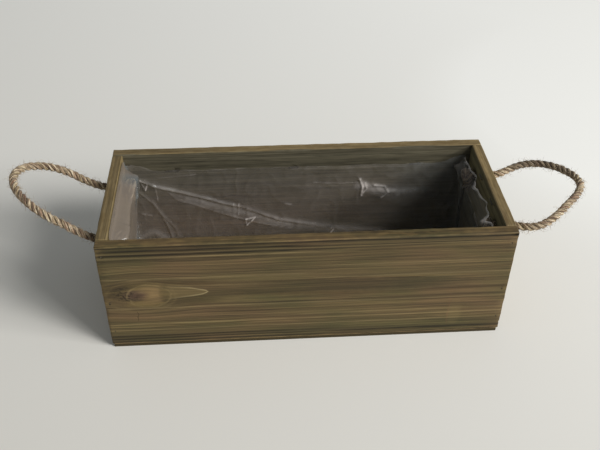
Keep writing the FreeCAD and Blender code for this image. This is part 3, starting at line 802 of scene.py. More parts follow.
@dataclass
class LaidRope:
    """Three strands laid up right-handed, each spun from yarns the other way, in mm."""

    seed: int
    sides: int = 18
    fray: float = 0.0
    lay: float = 19.5             # one full turn of a strand round the rope
    yarn_lay: float = 17.0        # one full turn of a yarn round its strand
    yarns: int = 6
    strand_radius: float = 0.242 * ROPE
    orbit: float = 0.262 * ROPE   # from the rope's middle to a strand's
    slub: float = 0.34            # how far a strand wanders
    uneven: float = 0.13          # how much its thickness varies
    fuzz: float = 0.3
    points: list[Vector] = field(default_factory=list)
    faces: list[tuple[int, ...]] = field(default_factory=list)
    marks: list[Place] = field(default_factory=list)
    grooves: list[float] = field(default_factory=list)
    runs: list[float] = field(default_factory=list)

    def sweep(self, line: list[Vector], runs: list[float], number: int) -> None:
        """Sweep one strand's lobed section along its helix round the rope's line.

        Args:
            line: The rope's centreline, in metres.
            runs: Distance along the line at each point.
            number: Which of the three strands.
        """
        total, seed = runs[-1], self.seed
        centres: list[Vector] = []
        outs: list[Vector] = []
        for point, (_, side, up), run in zip(line, carried_frames(line), runs):
            out = around(side, up, math.tau * (run / self.lay + number / 3))
            loose = self.fray * smooth(total - 9, total, run)
            slub = self.slub * flow(run / 15, number * 5.0, seed)
            centres.append(point + out * (self.orbit + slub + loose) * MM)
            outs.append(out)
        for centre, forward, out, run in zip(centres, headings(centres), outs, runs):
            out = (out - forward * out.dot(forward)).normalized()
            across = forward.cross(out)
            thick = self.strand_radius * (1 + self.uneven * flow(run / 10, number * 9.0, seed + 3))
            thin_end = 1 - 0.25 * self.fray * smooth(total - 7, total, run) / 2
            for step in range(self.sides):
                angle = math.tau * step / self.sides
                lobe = abs(math.cos(self.yarns * (angle + math.tau * run / self.yarn_lay) / 2))
                fuzz = self.fuzz * flow(run / 2.0, step * 0.9 + number * 31, seed)
                radius = thin_end * (thick * (0.86 + 0.16 * lobe ** 0.7) + fuzz)
                self.points.append(centre + around(out, across, angle) * radius * MM)
                # Painted shade: darker on the strand's inner side, against the other strands, and
                # between its yarns.
                self.grooves.append(0.8 * smooth(0.4, -0.35, math.cos(angle))
                                    + 0.4 * (1 - lobe) ** 2)
                self.runs.append(run)

    def skin(self, runs: list[float], number: int) -> None:
        """Close one swept strand with faces and lay its strand map on them.

        Args:
            runs: Distance along the line at each point.
            number: Which of the three strands.
        """
        sides, last = self.sides, len(runs) - 1
        first = number * len(runs) * sides
        girth, shift, slant = math.tau * self.strand_radius * MM, number * 0.37, 0.25
        for ring, step in product(range(last), range(sides)):
            a, b, nearby = first + ring * sides, first + (ring + 1) * sides, (step + 1) % sides
            self.faces.append((a + step, a + nearby, b + nearby, b + step))
            left, right = step / sides, (step + 1) / sides
            for u, v in ((left, ring), (right, ring), (right, ring + 1), (left, ring + 1)):
                self.marks.append((u * girth + shift + runs[v] * MM * slant, runs[v] * MM))
        for ring, order in ((0, -1), (last, 1)):
            start = first + ring * sides
            self.faces.append(tuple(range(start, start + sides))[::order])
            self.marks.extend([(shift, runs[ring] * MM)] * sides)

    def build(self, name: str, line: list[Vector], dark_stretches: list[Point]) -> Object:
        """Lay the three strands up along a line.

        Args:
            name: The piece's name.
            line: The rope's centreline, in metres.
            dark_stretches: Stretches painted darker, mostly as shadow and shade: start, end,
                strength.
        Returns:
            The rope as one mesh.
        """
        runs = [0.0]
        for before, after in zip(line, line[1:]):
            runs.append(runs[-1] + (after - before).length / MM)
        for number in range(3):
            self.sweep(line, runs, number)
            self.skin(runs, number)
        piece = mesh_piece(name, self.points, self.faces, self.marks)
        add_attribute(piece, "groove", [min(1.0, groove) for groove in self.grooves])
        add_attribute(piece, "stained", [self.stained(run, dark_stretches) for run in self.runs])
        take_up(piece)
        bpy.ops.object.shade_smooth()
        return piece

    def stained(self, run: float, dark_stretches: list[Point]) -> float:
        """How much darker the rope is painted at a distance along it."""
        blend = 6
        level = max([0.0] + [
            strength * (smooth(start - blend, start + blend, run)
                        - smooth(end - blend, end + blend, run))
            for start, end, strength in dark_stretches])
        return level * (0.75 + 0.5 * flow(run / 5, 3.0, self.seed))


@dataclass
class StrayFibres:
    """Loose hairs of bast that stand off a rope, in mm."""

    seed: int
    count: int = 900
    root: float = 3.2
    shortest: float = 2.0
    longest: float = 10.0
    stand_off: float = 6.5
    radius: float = 0.15      # at a hair's root; real bast is a third of that, too thin to show
    steps: int = 5

    def hair(self, draw: random.Random, line: list[Vector],
             frames: list[tuple[Vector, Vector, Vector]]) -> list[Vector]:
        """Grow one hair as rings of three points.

        Args:
            draw: The hairs' own random numbers.
            line: The rope's centreline, in metres.
            frames: Its carried directions.
        Returns:
            The rings' points, from root to tip.
        """
        index = draw.randrange(2, len(line) - 3)
        forward, side, up = frames[index]
        out = around(side, up, draw.uniform(0, math.tau))
        heading = (forward * draw.choice((-1, 1)) * draw.uniform(0.5, 1.2)
                   + forward.cross(out) * draw.uniform(-0.4, 0.9)
                   + out * draw.uniform(0.3, 1.3)).normalized()
        length = mix(self.shortest, self.longest, draw.random() ** 2.0)
        curl = Vector([draw.uniform(-1, 1) for _ in range(3)]) * 0.22
        place = line[index] + out * self.root * MM
        points: list[Vector] = []
        for step in range(self.steps + 1):
            if (place - line[index]).dot(out) / MM > self.stand_off:
                heading = (heading - out * heading.dot(out)).normalized()
            across = heading.cross(Vector((0.3, 0.5, 0.8))).normalized()
            other = heading.cross(across)
            radius = self.radius * (1 - 0.75 * step / self.steps) * MM
            points += [place + around(across, other, math.tau * corner / 3) * radius
                       for corner in range(3)]
            heading = (heading + curl + Vector((0, 0, -0.03))).normalized()
            place = place + heading * (length / self.steps) * MM
        return points

    def build(self, name: str, line: list[Vector]) -> Object:
        """Grow the hairs along a rope's line, and leave out those that would enter a board.

        Args:
            name: The piece's name.
            line: The rope's centreline, in metres.
        Returns:
            All hairs as one mesh.
        """
        draw, frames = random.Random(self.seed), carried_frames(line)
        points: list[Vector] = []
        faces: list[tuple[int, ...]] = []
        marks: list[Place] = []
        for number in range(self.count):
            hair = self.hair(draw, line, frames)
            if min(abs(point.x) for point in hair) < (END_FACE + 0.1) * MM:
                continue
            first, shift = len(points), number * 0.13
            points += hair
            for step, corner in product(range(self.steps), range(3)):
                a, b = first + 3 * step + corner, first + 3 * step + (corner + 1) % 3
                faces.append((a, b, b + 3, a + 3))
                marks += [(shift + k, step * 0.001) for k in (0, 0.0002, 0.0002, 0)]
            tip = first + 3 * self.steps
            faces += [(first + 2, first + 1, first), (tip, tip + 1, tip + 2)]
            marks += [(shift, 0.0)] * 6
        return mesh_piece(name, points, faces, marks)


class End(Enum):
    """An end of the box; the value is its side of the middle along X."""

    LEFT = -1
    RIGHT = 1


class Hole(Enum):
    """A rope hole in an end board; the value is its side of the middle along Y."""

    FRONT = -1
    BACK = 1


@dataclass
class RopeHandle:
    """One loop of rope outside an end board, from its back hole to its front hole, in mm."""

    end: End
    tilt: float
    length: float
    seed: int
    dark_stretches: list[Point]
    route: tuple[Point, ...]
    hinge_out: float = 204.3
    in_hole: float = 7.5
    bend_out: float = 10.0    # the bend from the box's body to the loop's ends here

    def places(self) -> list[Vector]:
        """The route's control points, in metres, with a straight run in each hole."""
        lean, side = math.radians(self.tilt), self.end.value
        loop = [Vector((side * (self.hinge_out + out * math.cos(lean) - lift * math.sin(lean)),
                        along, HOLE_HEIGHT + out * math.sin(lean) + lift * math.cos(lean)))
                for along, out, lift in self.route]
        first, last = [[Vector((side * x, hole.value * HOLE_REACH, HOLE_HEIGHT))
                        for x in (END_FACE - self.in_hole, END_FACE - 1.0)]
                       for hole in (Hole.BACK, Hole.FRONT)]
        return [place * MM for place in first + loop + last[::-1]]

    def build(self, jute: Material) -> None:
        side, hand = self.end.value, self.end.name.lower()
        line = centreline(f"{hand}_loop_line", self.places())
        rope = LaidRope(self.seed).build(f"{hand}_rope_loop", line, self.dark_stretches)
        hairs = StrayFibres(self.seed + 50).build(f"{hand}_rope_hairs", line)
        for piece in (rope, hairs):
            dress(piece, jute)
            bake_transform(piece)
        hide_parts(f"{hand}_handle_rope")


@dataclass
class StopperKnot:
    """The rope's stopper knot inside an end board, and its cut tail, in mm."""

    end: End
    hole: Hole
    seed: int
    turn_radius: float = 5.3
    first_turn: float = 22.0
    last_turn: float = 15.2
    tail: float = 17.5

    @property
    def name(self) -> str:
        """Name of the knot's node."""
        return f"{self.end.name}_{self.hole.name}_knot".lower()

    def places(self) -> list[Vector]:
        """Control points: in through the hole, round itself, and out at the bottom."""
        steps = 12
        local: list[Point] = [(2.5, 0, 0), (8, 0, 0), (14, 0, 0.4), (20.4, 0.6, 1.6)]
        for step in range(steps + 1):
            angle = math.radians(90 - 45 * step)
            local.append((mix(self.first_turn, self.last_turn, step / steps),
                          self.turn_radius * math.cos(angle), self.turn_radius * math.sin(angle)))
        local += [(17.4, 1.2, -8.8), (18.8, 0.8, -13), (18.4, -0.4, -self.tail)]
        return [Vector((self.end.value * (END_FACE - into), self.hole.value * (HOLE_REACH + across),
                        HOLE_HEIGHT + up)) * MM for into, across, up in local]

    def build(self, jute: Material) -> None:
        """Tie the knot and let its end fray."""
        line = centreline(f"{self.name}_line", self.places())
        # Painted shade: the right end's knots lie in the box's deep shade.
        dark_stretches = [(0.0, 90.0, 0.8)] if self.end is End.RIGHT else []
        rope = LaidRope(self.seed, sides=14, fray=0.5).build(f"{self.name}_rope", line, dark_stretches)
        dress(rope, jute)
        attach(rope, "planter")
        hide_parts(self.name)


# ------------------------------------------------------------------ liner
@dataclass
class Fold:
    """A fold of the film on the back wall, in mm.

    Its line across and down, height, half width, whitening with its painted glints, the share of
    height and whitening that it loses on its way, half width of the whitening, and the share of
    its length over which it grows.
    """

    line: tuple[Place, ...]
    height: float
    half_width: float
    white: float
    fade: float
    white_width: float
    grow: float = 0.0

    def near(self, across: float, drop: float) -> Place:
        """Distance from a place to the fold's line, and the share of its length there."""
        best, share = 1e9, 0.0
        for index, ((ax, ay), (bx, by)) in enumerate(zip(self.line, self.line[1:])):
            dx, dy = bx - ax, by - ay
            size = dx * dx + dy * dy
            t = min(1.0, max(0.0, ((across - ax) * dx + (drop - ay) * dy) / size))
            gap = math.hypot(across - ax - t * dx, drop - ay - t * dy)
            if gap < best:
                best, share = gap, (index + t) / (len(self.line) - 1)
        return best, share


def graded(length: float, steps: tuple[Place, ...]) -> list[float]:
    """Divide a length into steps that are finer in some stretches.

    Args:
        length: The whole length in mm.
        steps: Where each step size begins, and the size, in mm.
    Returns:
        Shares of the length from 0 to 1.
    """
    places, here = [0.0], 0.0
    while here < length:
        here += [step for begin, step in steps if begin <= here][-1]
        places.append(here)
    return [place / places[-1] for place in places]


@dataclass
class FilmLiner:
    """Clear film pushed into the box over the knots and stapled near the rim, in mm."""

    folds: tuple[Fold, ...]
    half_length: float = 188.8
    half_depth: float = 70.3
    floor: float = 4.4
    end_edge: float = 127.0
    side_edge: float = 113.0
    corner: float = 9.0
    fillet: float = 7.0
    staple_reach: float = 22.0    # an end board's staples, from its middle
    knot_stand: float = 16.2      # how far a knot holds the film off the board
    flap_stand: float = 6.0       # how far the free edge at the right stands off
    back_steps: tuple[Place, ...] = (
        (0.0, 0.85), (37.0, 1.5), (109.0, 0.85), (134.0, 1.5), (212.0, 0.9), (226.0, 1.5),
        (242.0, 0.85), (290.0, 1.5))
    row_steps: tuple[Place, ...] = (
        (0.0, 2.2), (18.0, 0.95), (38.0, 1.9), (50.0, 0.95), (95.0, 1.7))
    fillet_rows: int = 6
    floor_rings: int = 12

    def columns(self) -> list[tuple[Vector, Vector]]:
        """Places on the walls and outward directions, once round from the back left."""
        x, y, turns = self.half_length - self.corner, self.half_depth - self.corner, 8
        sides = [
            ((-x, self.half_depth), (x, self.half_depth), (0, 1), self.back_steps, (x, y), 90),
            ((self.half_length, y), (self.half_length, -y), (1, 0), ((0.0, 1.4),), (x, -y), 0),
            ((x, -self.half_depth), (-x, -self.half_depth), (0, -1), ((0.0, 2.6),), (-x, -y), -90),
            ((-self.half_length, -y), (-self.half_length, y), (-1, 0), ((0.0, 1.4),), (-x, y),
             -180)]
        out: list[tuple[Vector, Vector]] = []
        for start, end, normal, steps, centre, angle in sides:
            for share in graded(math.dist(start, end), steps)[:-1]:
                out.append((Vector(start).lerp(Vector(end), share), Vector(normal)))
            for index in range(turns):
                turn = math.radians(angle - 90 * index / turns)
                outward = Vector((math.cos(turn), math.sin(turn)))
                out.append((Vector(centre) + outward * self.corner, outward))
        return out

    def edge_height(self, x: float, y: float) -> float:
        """Height of the film's cut edge at a place on the walls."""
        near_end = self.half_length - abs(x)
        wave = 0.8 * flow(x / 24, y / 24, 4.0) + 0.4 * flow(x / 6, y / 6, 8.0)
        if near_end > 1.0:
            return mix(self.end_edge - 5, self.side_edge, smooth(4, 40, near_end)) + wave
        height = self.end_edge - 5 * smooth(self.half_depth - 16, self.half_depth, abs(y))
        if x < 0:
            return height + 5.2 + 0.3 * wave
        dip = 2.5 * bell(y + 48, 5) + 1.5 * bell(y - 6, 5)
        held = bell(abs(y) - self.staple_reach, 7)
        return height - 1.5 - dip + (0.5 + dip) * held + 0.9 * wave

    def tent(self, along: float, height: float) -> float:
        """How far the film stands off an end board over the knots."""
        lean = min(1.0, max(0.0, (height - 8) / 106))
        beyond = smooth(mix(69.0, 50.0, lean) - 1.5, self.half_depth, abs(along))
        body = (15.2 * lean - 1.6 * bell(along, 20) * lean) * (1 - beyond)
        body *= 1 - smooth(118.5, 125.5, height)
        beside = 1 - smooth(9.0, 17.0, abs(abs(along) - HOLE_REACH))
        over = smooth(94, 104, height) * (1 - smooth(119.5, 125.0, height))
        return max(body, self.knot_stand * beside * over)

    def fold_shape(self, across: float, drop: float) -> Place:
        """Height of the folds at a place on the back wall, and how whitened the film is, painted
        glints included.
        """
        height, white = 0.0, 0.0
        for fold in self.folds:
            gap, share = fold.near(across, drop)
            if gap >= 5 * fold.half_width:
                continue
            strength = 1.0 - fold.fade * share
            if fold.grow:
                strength *= mix(0.25, 1.0, smooth(0.0, fold.grow, share))
            height += fold.height * strength * bell(gap, fold.half_width)
            mottle = 0.8 + 0.5 * flow(across / 7, drop / 5, 41.0)
            white = max(white, fold.white * strength * mottle * bell(gap, fold.white_width))
        return height, white

    def wrinkle(self, x: float, y: float, z: float) -> float:
        """Small random standing-off of the film."""
        ridge = 1 - abs(flow(x / 17 + 5, y / 17, z / 21)) * 2.2
        return (1.7 * abs(flow(x / 55, y / 55, z / 42)) + 0.7 * max(0.0, ridge) ** 3
                + 0.16 * flow(x / 6, y / 6, z / 7 + 11))

    def point(self, base: Vector, normal: Vector, height: float,
              fillet: float) -> tuple[Vector, float]:
        """Place of the film at a column and height, and its whitening.

        Args:
            base: Place on the wall.
            normal: Outward direction there.
            height: Height above the ground.
            fillet: Standing-off in the bottom corner.
        Returns:
            The place in mm and the crease value, painted glints included; below nought the film is
            clearer.
        """
        x, y = base
        white = 0.0
        at_right, at_left = normal.x > 0.7, normal.x < -0.7
        stand = 0.35 + fillet + self.wrinkle(x, y, height)
        if at_left or at_right:
            stand = max(stand, self.tent(y, height) + 0.25 * self.wrinkle(x, y, height))
        if at_left:
            white = 0.04 * flow(y / 9, height / 40, 2.0)
            # A painted highlight along the fold at the back of the left end.
            white += 0.2 * bell(y - 62, 3.0) * (1 - smooth(96, 112, height))
        elif at_right:
            white = mix(-0.05, -0.15, smooth(104, 112, height))
        elif normal.y > 0.7:
            rise, white = self.fold_shape(x + 189, RIM - height)
            stand += rise
        edge = self.edge_height(x, y)
        lip = smooth(edge - 14, edge, height)
        stand += lip * (0.9 + 1.1 * flow(x / 15, y / 15, 1.0))
        if at_left:
            stand = mix(stand, 0.5, lip)
        elif at_right:
            held = 0.55 * bell(abs(y) - self.staple_reach, 6)
            stand += smooth(110, 124, height) * self.flap_stand * (1 - held)
        # Painted highlight: the film's cut edge catching the light.
        dashes = max(0.0, flow(x / 11, y / 11, 31.0) + 0.25)
        edge_highlight = 0.42 if at_right else 0.22 * dashes
        white = mix(white, max(white, edge_highlight), smooth(edge - 1.6, edge, height))
        return Vector((*(base - normal * stand), height)), white

    def veil_and_shade_tint(self, base: Vector, normal: Vector, height: float) -> float:
        """How milky the film hangs at a place: most over the knots; at the right, cool grey as
        painted shade.
        """
        if normal.x < -0.7:
            touching = bell(base.y - HOLE_REACH, 9) * bell(height - 106, 13)
            return mix(0.6, 0.2, smooth(62, 69, base.y)) * (1 - 0.95 * touching)
        # Painted shade: a cool grey veil at the right end and on the back wall's right.
        if normal.x > 0.7:
            return mix(0.32, 0.05, smooth(104, 113, height))
        return 0.08 if normal.y < -0.7 else 0.05 + 0.22 * smooth(70, 170, base.x)

    def floor_point(self, base: Vector, normal: Vector, share: float) -> Vector:
        """Place of the film on the floor: share 0 lies inmost, 1 where the walls begin."""
        flat = base - normal * self.fillet
        inset = (self.half_depth - self.fillet) * 0.96
        spot = Vector((math.copysign(max(0.0, abs(flat.x) - inset), flat.x),
                       flat.y * 0.04)).lerp(flat, share)
        ridge = max(0.0, 1 - 2.4 * abs(flow(spot.x / 14, spot.y / 14, 23.0)))
        lift = 0.9 * abs(flow(spot.x / 30, spot.y / 30, 17.0)) + 0.5 * ridge ** 3
        return Vector((*spot, self.floor + lift * (0.3 + 0.7 * (1 - share))))

    def build(self) -> Object:
        """Lay the floor in growing rings, then form the walls row by row."""
        columns = self.columns()
        count, foot = len(columns), self.floor + self.fillet
        points = [self.floor_point(base, normal, ring / (self.floor_rings - 1))
                  for ring in range(self.floor_rings) for base, normal in columns]
        crease, veil_and_shade_tint = [0.0] * len(points), [0.08] * len(points)
        turns = [math.pi / 2 * row / self.fillet_rows for row in range(1, self.fillet_rows + 1)]
        rows = [(self.fillet * (1 - math.sin(turn)), 1 - math.cos(turn), 0.0) for turn in turns]
        rows += [(0.0, 1.0, rise) for rise in graded(self.side_edge - foot, self.row_steps)[1:]]
        for (fillet, up, rise), (base, normal) in product(rows, columns):
            low = self.floor + self.fillet * up
            height = mix(low, self.edge_height(*base), rise)
            place, white = self.point(base, normal, height, fillet)
            points.append(place)
            crease.append(white)
            veil_and_shade_tint.append(self.veil_and_shade_tint(base, normal, height))
        faces: list[tuple[int, ...]] = []
        for a, step in product(range(0, len(points) - count, count), range(count)):
            b, nearby = a + count, (step + 1) % count
            faces.append((a + step, a + nearby, b + nearby, b + step))
        faces.append(tuple(range(count)))
        piece = mesh_piece("film_liner_sheet", [place * MM for place in points], faces)
        add_attribute(piece, "crease", crease)
        add_attribute(piece, "veil_and_shade_tint", veil_and_shade_tint)
        take_up(piece)
        bpy.ops.object.mode_set(mode="EDIT")
        bpy.ops.mesh.select_all(action="SELECT")
        bpy.ops.mesh.normals_make_consistent(inside=True)
        bpy.ops.object.mode_set(mode="OBJECT")
        bpy.ops.object.shade_smooth()
        dress(piece, ClearFilm().build())
        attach(piece, "planter")
        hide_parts("liner_film")
        return piece


# ------------------------------------------------------------------ studio
@dataclass(frozen=True)
class Window:
    """A soft window light: bearing from +X to the front and rise (degrees), size and power."""

    name: str
    bearing: float
    rise: float
    size: Place
    power: float
    distance: float = 6500.0


@dataclass
class Studio:
    """Pale floor, window light from the front right, a dim room and the camera."""

    aim: Point = (0.0, 0.0, 60.0)
    windows: tuple[Window, ...] = (
        Window("window_low", 26.0, 26.0, (2800.0, 900.0), 300.0),
        Window("window_high", 38.0, 41.0, (1900.0, 1600.0), 185.0),
    )
    window_colour: Point = (1.0, 0.993, 0.975)
    room_colour: tuple[float, ...] = (0.85, 0.89, 0.9, 1.0)
    room_strength: float = 0.27
    focal_length: float = 47.735
    camera_place: Point = (-49.9, -647.8, 611.1)
    camera_turn: Point = (51.05, -0.457, -3.739)

    def floor(self) -> None:
        """Lay a large floor of matt white card, with painted light: brighter to the right, back and
        in one pool.
        """
        take_up()
        bpy.ops.mesh.primitive_plane_add(size=14.0, location=(0.0, 0.0, 0.0))
        floor = bpy.context.object
        floor.name = "studio_floor"
        wiring = Wiring("white_card_with_painted_light")
        add = wiring.add
        place = add("TexCoord", out="Object")
        x, y, _ = add("SeparateXYZ", place).node.outputs
        # Painted light: brighter to the right and back, and a pool of light behind the box at the
        # right.
        slant = add("Math MULTIPLY_ADD", y, 0.62, add("Math MULTIPLY_ADD", x, 0.48, 0.37))
        beside = add("VectorMath DISTANCE", place, (0.5, 0.33, 0.0))
        patch = add("MapRange", beside, 0.06, 0.36, 0.6, 0.0, interpolation_type="SMOOTHSTEP")
        tone = add("Mix RGBA", add("Math ADD", slant, patch, use_clamp=True), "dbd8d1", "fdfcf8")
        add("OutputMaterial", add("BsdfPrincipled", Base_Color=tone, Roughness=0.9,
                                  Specular_IOR_Level=0.15))
        floor.data.materials.append(wiring.material)

    def hang(self, window: Window) -> None:
        """Hang one window light, facing the box."""
        turn, rise = math.radians(window.bearing), math.radians(window.rise)
        toward = Vector((math.cos(turn) * math.cos(rise), -math.sin(turn) * math.cos(rise),
                         math.sin(rise)))
        lamp = bpy.data.lights.new(window.name, "AREA")
        lamp.shape = "RECTANGLE"
        lamp.size, lamp.size_y = (side * MM for side in window.size)
        lamp.energy, lamp.color = window.power, self.window_colour
        light = linked(window.name, lamp)
        light.location = (Vector(self.aim) + toward * window.distance) * MM
        light.rotation_euler = toward.to_track_quat("Z", "Y").to_euler()

    def light(self) -> None:
        """Hang the windows and set the room's own light."""
        for window in self.windows:
            self.hang(window)
        world = bpy.data.worlds.new("room")
        world.use_nodes = True
        background = world.node_tree.nodes["Background"].inputs
        background["Color"].default_value = self.room_colour
        background["Strength"].default_value = self.room_strength
        bpy.context.scene.world = world
        bpy.context.scene.view_settings.view_transform = "Standard"

    def camera(self) -> None:
        """Stand the camera where the picture was taken from."""
        lens = bpy.data.cameras.new("camera")
        lens.sensor_width, lens.lens = 36.0, self.focal_length
        camera = linked("camera", lens)
        camera.location = Vector(self.camera_place) * MM
        camera.rotation_euler = [math.radians(turn) for turn in self.camera_turn]
        bpy.context.scene.camera = camera

    def build(self) -> None:
        """Set up floor, lights and camera."""
        self.floor()
        self.light()
        self.camera()
        LOG.info("studio: floor, %d windows, camera", len(self.windows))


# ------------------------------------------------------------------ this box's own details
# Routes of the loops, as the model's source has them: along the hinge line, out from it,
# above the loop's tilted plane, in mm.
LEFT_ROUTE: tuple[Point, ...] = (
    (42.5, 0, 0), (42, 11, -1), (43.4, 26, -0.7), (46.6, 43.5, 0.6), (44.8, 61.5, 1.2),
    (38, 77.5, 0.8), (27.5, 89, -0.2), (13, 92.8, -1), (-2, 88.6, -0.6), (-15, 79.2, 0.4),
    (-26.4, 65.2, 1), (-33.4, 49, 0.9), (-36.4, 32, 0), (-40.6, 15, -0.9), (-42.5, 0, 0),
)
RIGHT_ROUTE: tuple[Point, ...] = (
    (42.5, 0, 0), (42.4, 10, -0.6), (48.2, 23.5, -0.4), (52.6, 38.5, 0.5), (50.4, 54, 1),
    (43, 68, 0.6), (31.8, 79.8, -0.3), (17.5, 87.8, -1), (2.5, 87.2, -0.8), (-11.5, 78.4, 0.2),
    (-24.2, 65.2, 0.9), (-37.8, 51.3, 1.1), (-48.4, 37, 0.5), (-51.8, 24, -0.3),
    (-48.2, 11.3, -0.8), (-42.5, 0, 0),
)
FRONT_LINES = tuple(Line(*row) for row in (
    (131.2, 1.0, 0.9, -210, 60, 0.001), (130.8, 1.25, 1.0, 0, 210, -0.001),
    (127.0, 1.2, 1.0, -210, -20, 0.004), (125.6, 0.7, 0.7, 20, 160),
    (121.8, 1.1, 0.95, -210, 40, -0.004), (118.5, 0.7, 0.55, 60, 170),
    (116.3, 0.8, 0.7, -190, -60, -0.004), (14.2, 0.9, 0.8, -205, -60),
    (10.2, 1.2, 0.85, -160, 130, 0.001), (6.4, 1.6, 0.75, -120, 40),
    (5.0, 0.9, 0.85, 20, 205), (3.2, 0.8, 0.9, -205, 205),
))
PALE_LINES = tuple(Line(*row) for row in (
    (92.0, 0.7, 0.65, -150, 40), (85.6, 0.7, 0.7, 20, 200), (53.2, 0.7, 0.65, -120, 60),
    (52.6, 0.7, 0.6, 40, 200), (118.9, 0.7, 0.6, -195, -120), (31.0, 0.6, 0.5, -100, 120),
    (23.0, 0.6, 0.45, -190, 60), (37.0, 0.6, 0.5, 60, 200), (101.0, 0.7, 0.4, 60, 200),
    (124.3, 0.5, 0.45, -190, 60),
))
# Bands of darker and paler stain, the knot at the left with pale heart wood to its right and
# a purplish, checked side to its left, and the scuffs at the right.
FRONT_MARKS = tuple(Mark(*row) for row in (
    (0, 74, 130, 8.5, 0.55, "5c4d36"), (90, 72, 70, 7, 0.35, "54503c"),
    (-120, 62, 30, 5.5, 0.5, "5a4d30"), (-183, 78, 14, 12, 0.5, "62543a"),
    (-120, 84, 30, 3.5, 0.4, "665233"), (-184, 64, 14, 6, 0.4, "8d7857"),
    (-160, 59, 15, 4.5, 0.6, "b09a66"), (-161, 83, 15, 4, 0.4, "a5905f"),
    (-153.5, 71, 12.5, 10.5, 0.7, "b4976e"), (-149, 69.5, 6, 8, 0.35, "c0a57c"),
    (-140, 73.5, 4.5, 9, 0.5, "5f5530"), (-169, 71, 10, 5.5, 0.75, "7b6458"),
    (-167, 70.5, 6, 3, 0.45, "5e463c"), (-180, 72, 9, 9.5, 0.65, "2f2617", Touch.SPECKLED),
    (-172, 69, 9, 5, 0.5, "2f251a", Touch.SPECKLED),
    (-156, 69.5, 21, 14.5, 0.38, "c9b384", Touch.OUTLINE),
    (-164, 69, 34, 20, 0.2, "c0a97a", Touch.OUTLINE),
    (-194, 61, 1, 1, 0.8, "1c180e", Touch.CRISP), (143.5, 36, 0.9, 20, 0.5, "a07c60"),
    (150, 30, 6, 14, 0.35, "b09c70"), (-169, 43, 0.7, 7, 0.6, "5d4c30", Touch.CRISP),
    (120, 96, 60, 10, 0.3, "a8946c"), (60, 44, 90, 8, 0.3, "a08c64"),
    (-100, 125, 100, 7, 0.5, "4a4228"),
))
# The two broad warm patches low on the back wall are painted light: the glow the film's haze adds
# there.
BACK_MARKS = tuple(Mark(*row) for row in (
    (-76, 71, 8, 3.2, 0.7, "54382c"), (-95, 116, 55, 10, 0.62, "464931"),
    (40, 120, 90, 9, 0.48, "4d513b"), (-100, 50, 100, 34, 0.72, "bd8765"),
    (40, 70, 110, 32, 0.6, "a97f66"), (-20, 100, 12, 5, 0.4, "474a35"),
))
# The film's folds on the back wall, across from its left end and down from the rim. Their
# whitening is partly the film whitened in its folds and partly painted glints and highlights.
BACK_FOLDS = tuple(Fold(*row) for row in (
    # the long diagonal fold: its crest, its lower fold and the milky band between
    (((12, 31), (30, 42), (60, 52), (105, 68), (125, 74), (165, 94), (185, 99), (235, 110),
      (290, 117)), 2.6, 1.8, 0.36, 0.6, 1.1, 0.2),
    (((22, 38), (40, 48), (53, 62), (75, 70), (105, 84), (125, 92), (150, 100), (180, 108)),
     1.4, 1.3, 0.28, 0.4, 0.9, 0.6),
    (((20, 36), (45, 49), (70, 60), (105, 74), (135, 84), (165, 97), (200, 104), (245, 112),
      (290, 118)), 0, 5, 0.34, 0.1, 5.4, 0.3),
    # three small nips, their corners painted with white glints
    (((14, 33), (22, 38), (19, 47)), 0.8, 1, 0.95, 0, 0.75),
    (((14, 33), (19, 47)), 0.5, 1, 0.5, 0, 0.7),
    (((128, 92), (139, 90), (129, 101)), 0.8, 1, 0.95, 0, 0.75),
    (((128, 92), (129, 101)), 0.5, 1, 0.5, 0, 0.7),
    (((225, 108), (230, 112), (226, 117)), 0.8, 1, 0.9, 0, 0.8),
    # creases across the band, and the ones that fall to the left corner
    (((115, 69), (116, 88)), 0.5, 0.9, 0.4, 0, 0.7),
    (((121, 69), (120, 86)), 0.5, 0.9, 0.45, 0, 0.7),
    (((30, 42), (31, 62)), 0.5, 0.9, 0.3, 0, 0.7),
    (((12, 50), (25, 65), (35, 85), (43, 115)), 1, 1.4, 0.14, 0, 0.8),
    (((25, 62), (36, 84), (46, 100), (52, 118)), 0.8, 1.4, 0.1, 0, 0.8),
    (((12, 79), (22, 82)), 0.8, 1.4, 0.3, 0, 1),
    (((6, 116), (22, 106), (36, 120)), 1, 4, 0.2, 0, 4.5),
    (((35, 31), (55, 30), (75, 28)), 0.4, 1, 0.16, 0, 0.7),
    (((180, 24), (230, 24), (345, 25)), 0.3, 0.9, 0.12, 0, 0.6),
    # the bright pucker at the right, its shine painted white
    (((257, 41), (260, 50), (260, 64)), 1.4, 1.5, 0.95, 0, 1.4),
    (((263, 46), (265, 54), (262, 60)), 1, 1.3, 0.7, 0, 1),
    (((258, 50), (270, 54), (284, 58), (298, 60)), 1, 4.2, 0.72, 0, 5.6),
    (((274, 50), (286, 52), (290, 60), (283, 67)), 1, 1.3, 0.8, 0, 1.3),
    (((295, 58), (312, 59), (345, 59)), 0.8, 3.2, 0.6, 0.8, 4),
    (((205, 44), (235, 45), (258, 46)), 0.4, 0.9, 0.18, 0, 0.9),
    (((200, 52), (258, 54)), 0.4, 6, 0.05, 0, 8),
    # two short painted glints
    (((84, 60), (96, 63)), 0.4, 1, 0.16, 0, 0.8),
    (((173, 72), (180, 73)), 0.4, 1, 0.22, 0, 0.8),
))


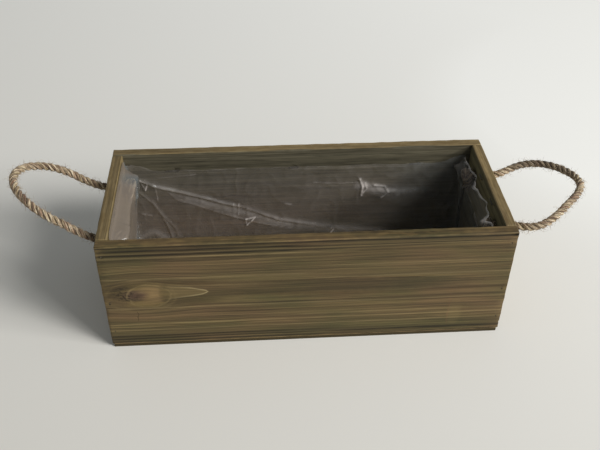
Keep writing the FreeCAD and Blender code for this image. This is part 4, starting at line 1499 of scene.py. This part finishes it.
def build_walls() -> None:
    """Make the four wall boards."""
    front = StainedPine(
        "stained_pine_front", Grain.ALONG_X, 2.0, -52.0, 73.0, top_value=0.9,
        knots=(Knot(-161.0, 73.0, 17.0, 14.0, 62.0),), marks=FRONT_MARKS,
        dark_lines=FRONT_LINES, pale_lines=PALE_LINES)
    seams = (Line(127.0, 0.6, 0.5), Line(9.0, 0.6, 0.5))
    # Painted shade: the back board's inner face is darker and cooler, the right end's cooler, for
    # the shade inside the box.
    back = StainedPine(
        "stained_pine_back", Grain.ALONG_X, 11.0, 112.0, 60.0, value=0.42, top_value=0.77,
        inward=(0.0, -1.0, 0.0), inner_shade=0.57, inner_shade_tint="e2edff",
        knots=(Knot(-74.0, 71.0, 4.0, 3.5),), marks=BACK_MARKS, dark_lines=seams)
    left = StainedPine(
        "stained_pine_left_end", Grain.ALONG_Y, 29.0, -160.0, 48.0, top_value=0.7,
        dark_lines=(Line(20.0, 0.6, 0.5), Line(96.0, 0.5, 0.4)))
    right = StainedPine(
        "stained_pine_right_end", Grain.ALONG_Y, 37.0, 240.0, 90.0, value=0.42, top_value=0.88,
        inward=(-1.0, 0.0, 0.0), inner_shade_tint="e8f3f2", dark_lines=(Line(30.0, 0.6, 0.5),))
    holes = tuple((hole.value * HOLE_REACH, HOLE_HEIGHT) for hole in Hole)
    WallBoard("front_board", front, FRONT_LINES).build()
    WallBoard("back_board", back, seams).build()
    WallBoard("left_end_board", left, holes=holes).build()
    WallBoard("right_end_board", right, holes=holes).build()


def dress_kept_nodes() -> None:
    """Give the nails, staples and bottom board, whose shapes stay, their finishes."""
    finishes = {"brads": Steel("wire_brad_steel", "8b857a", 0.45).build(),
                "staples": Steel("staple_wire_zinc", "c9c6be", 0.3).build(),
                "bottom_board": Plywood().build()}
    for name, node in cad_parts.items():
        for ending, finish in finishes.items():
            if name.endswith(ending):
                dress(node, finish)


def main() -> None:
    """Build the planter piece by piece."""
    Studio().build()
    jute = Jute().build()
    # Painted shadow: the box's shadow on the left loop where it leaves the holes.
    RopeHandle(End.LEFT, 25.0, 249.0, 3, [(0.0, 16.0, 0.7), (228.0, 260.0, 0.7)],
               LEFT_ROUTE).build(jute)
    # The right loop is painted darker over its top.
    RopeHandle(End.RIGHT, 8.0, 252.0, 4, [(40.0, 112.0, 0.75)], RIGHT_ROUTE).build(jute)
    for number, (end, hole) in enumerate(product(End, Hole)):
        StopperKnot(end, hole, 20 + number).build(jute)
    build_walls()
    FilmLiner(BACK_FOLDS).build()
    dress_kept_nodes()


if __name__ == "__main__":
    logging.basicConfig(level=logging.INFO, format="%(message)s")
    main()
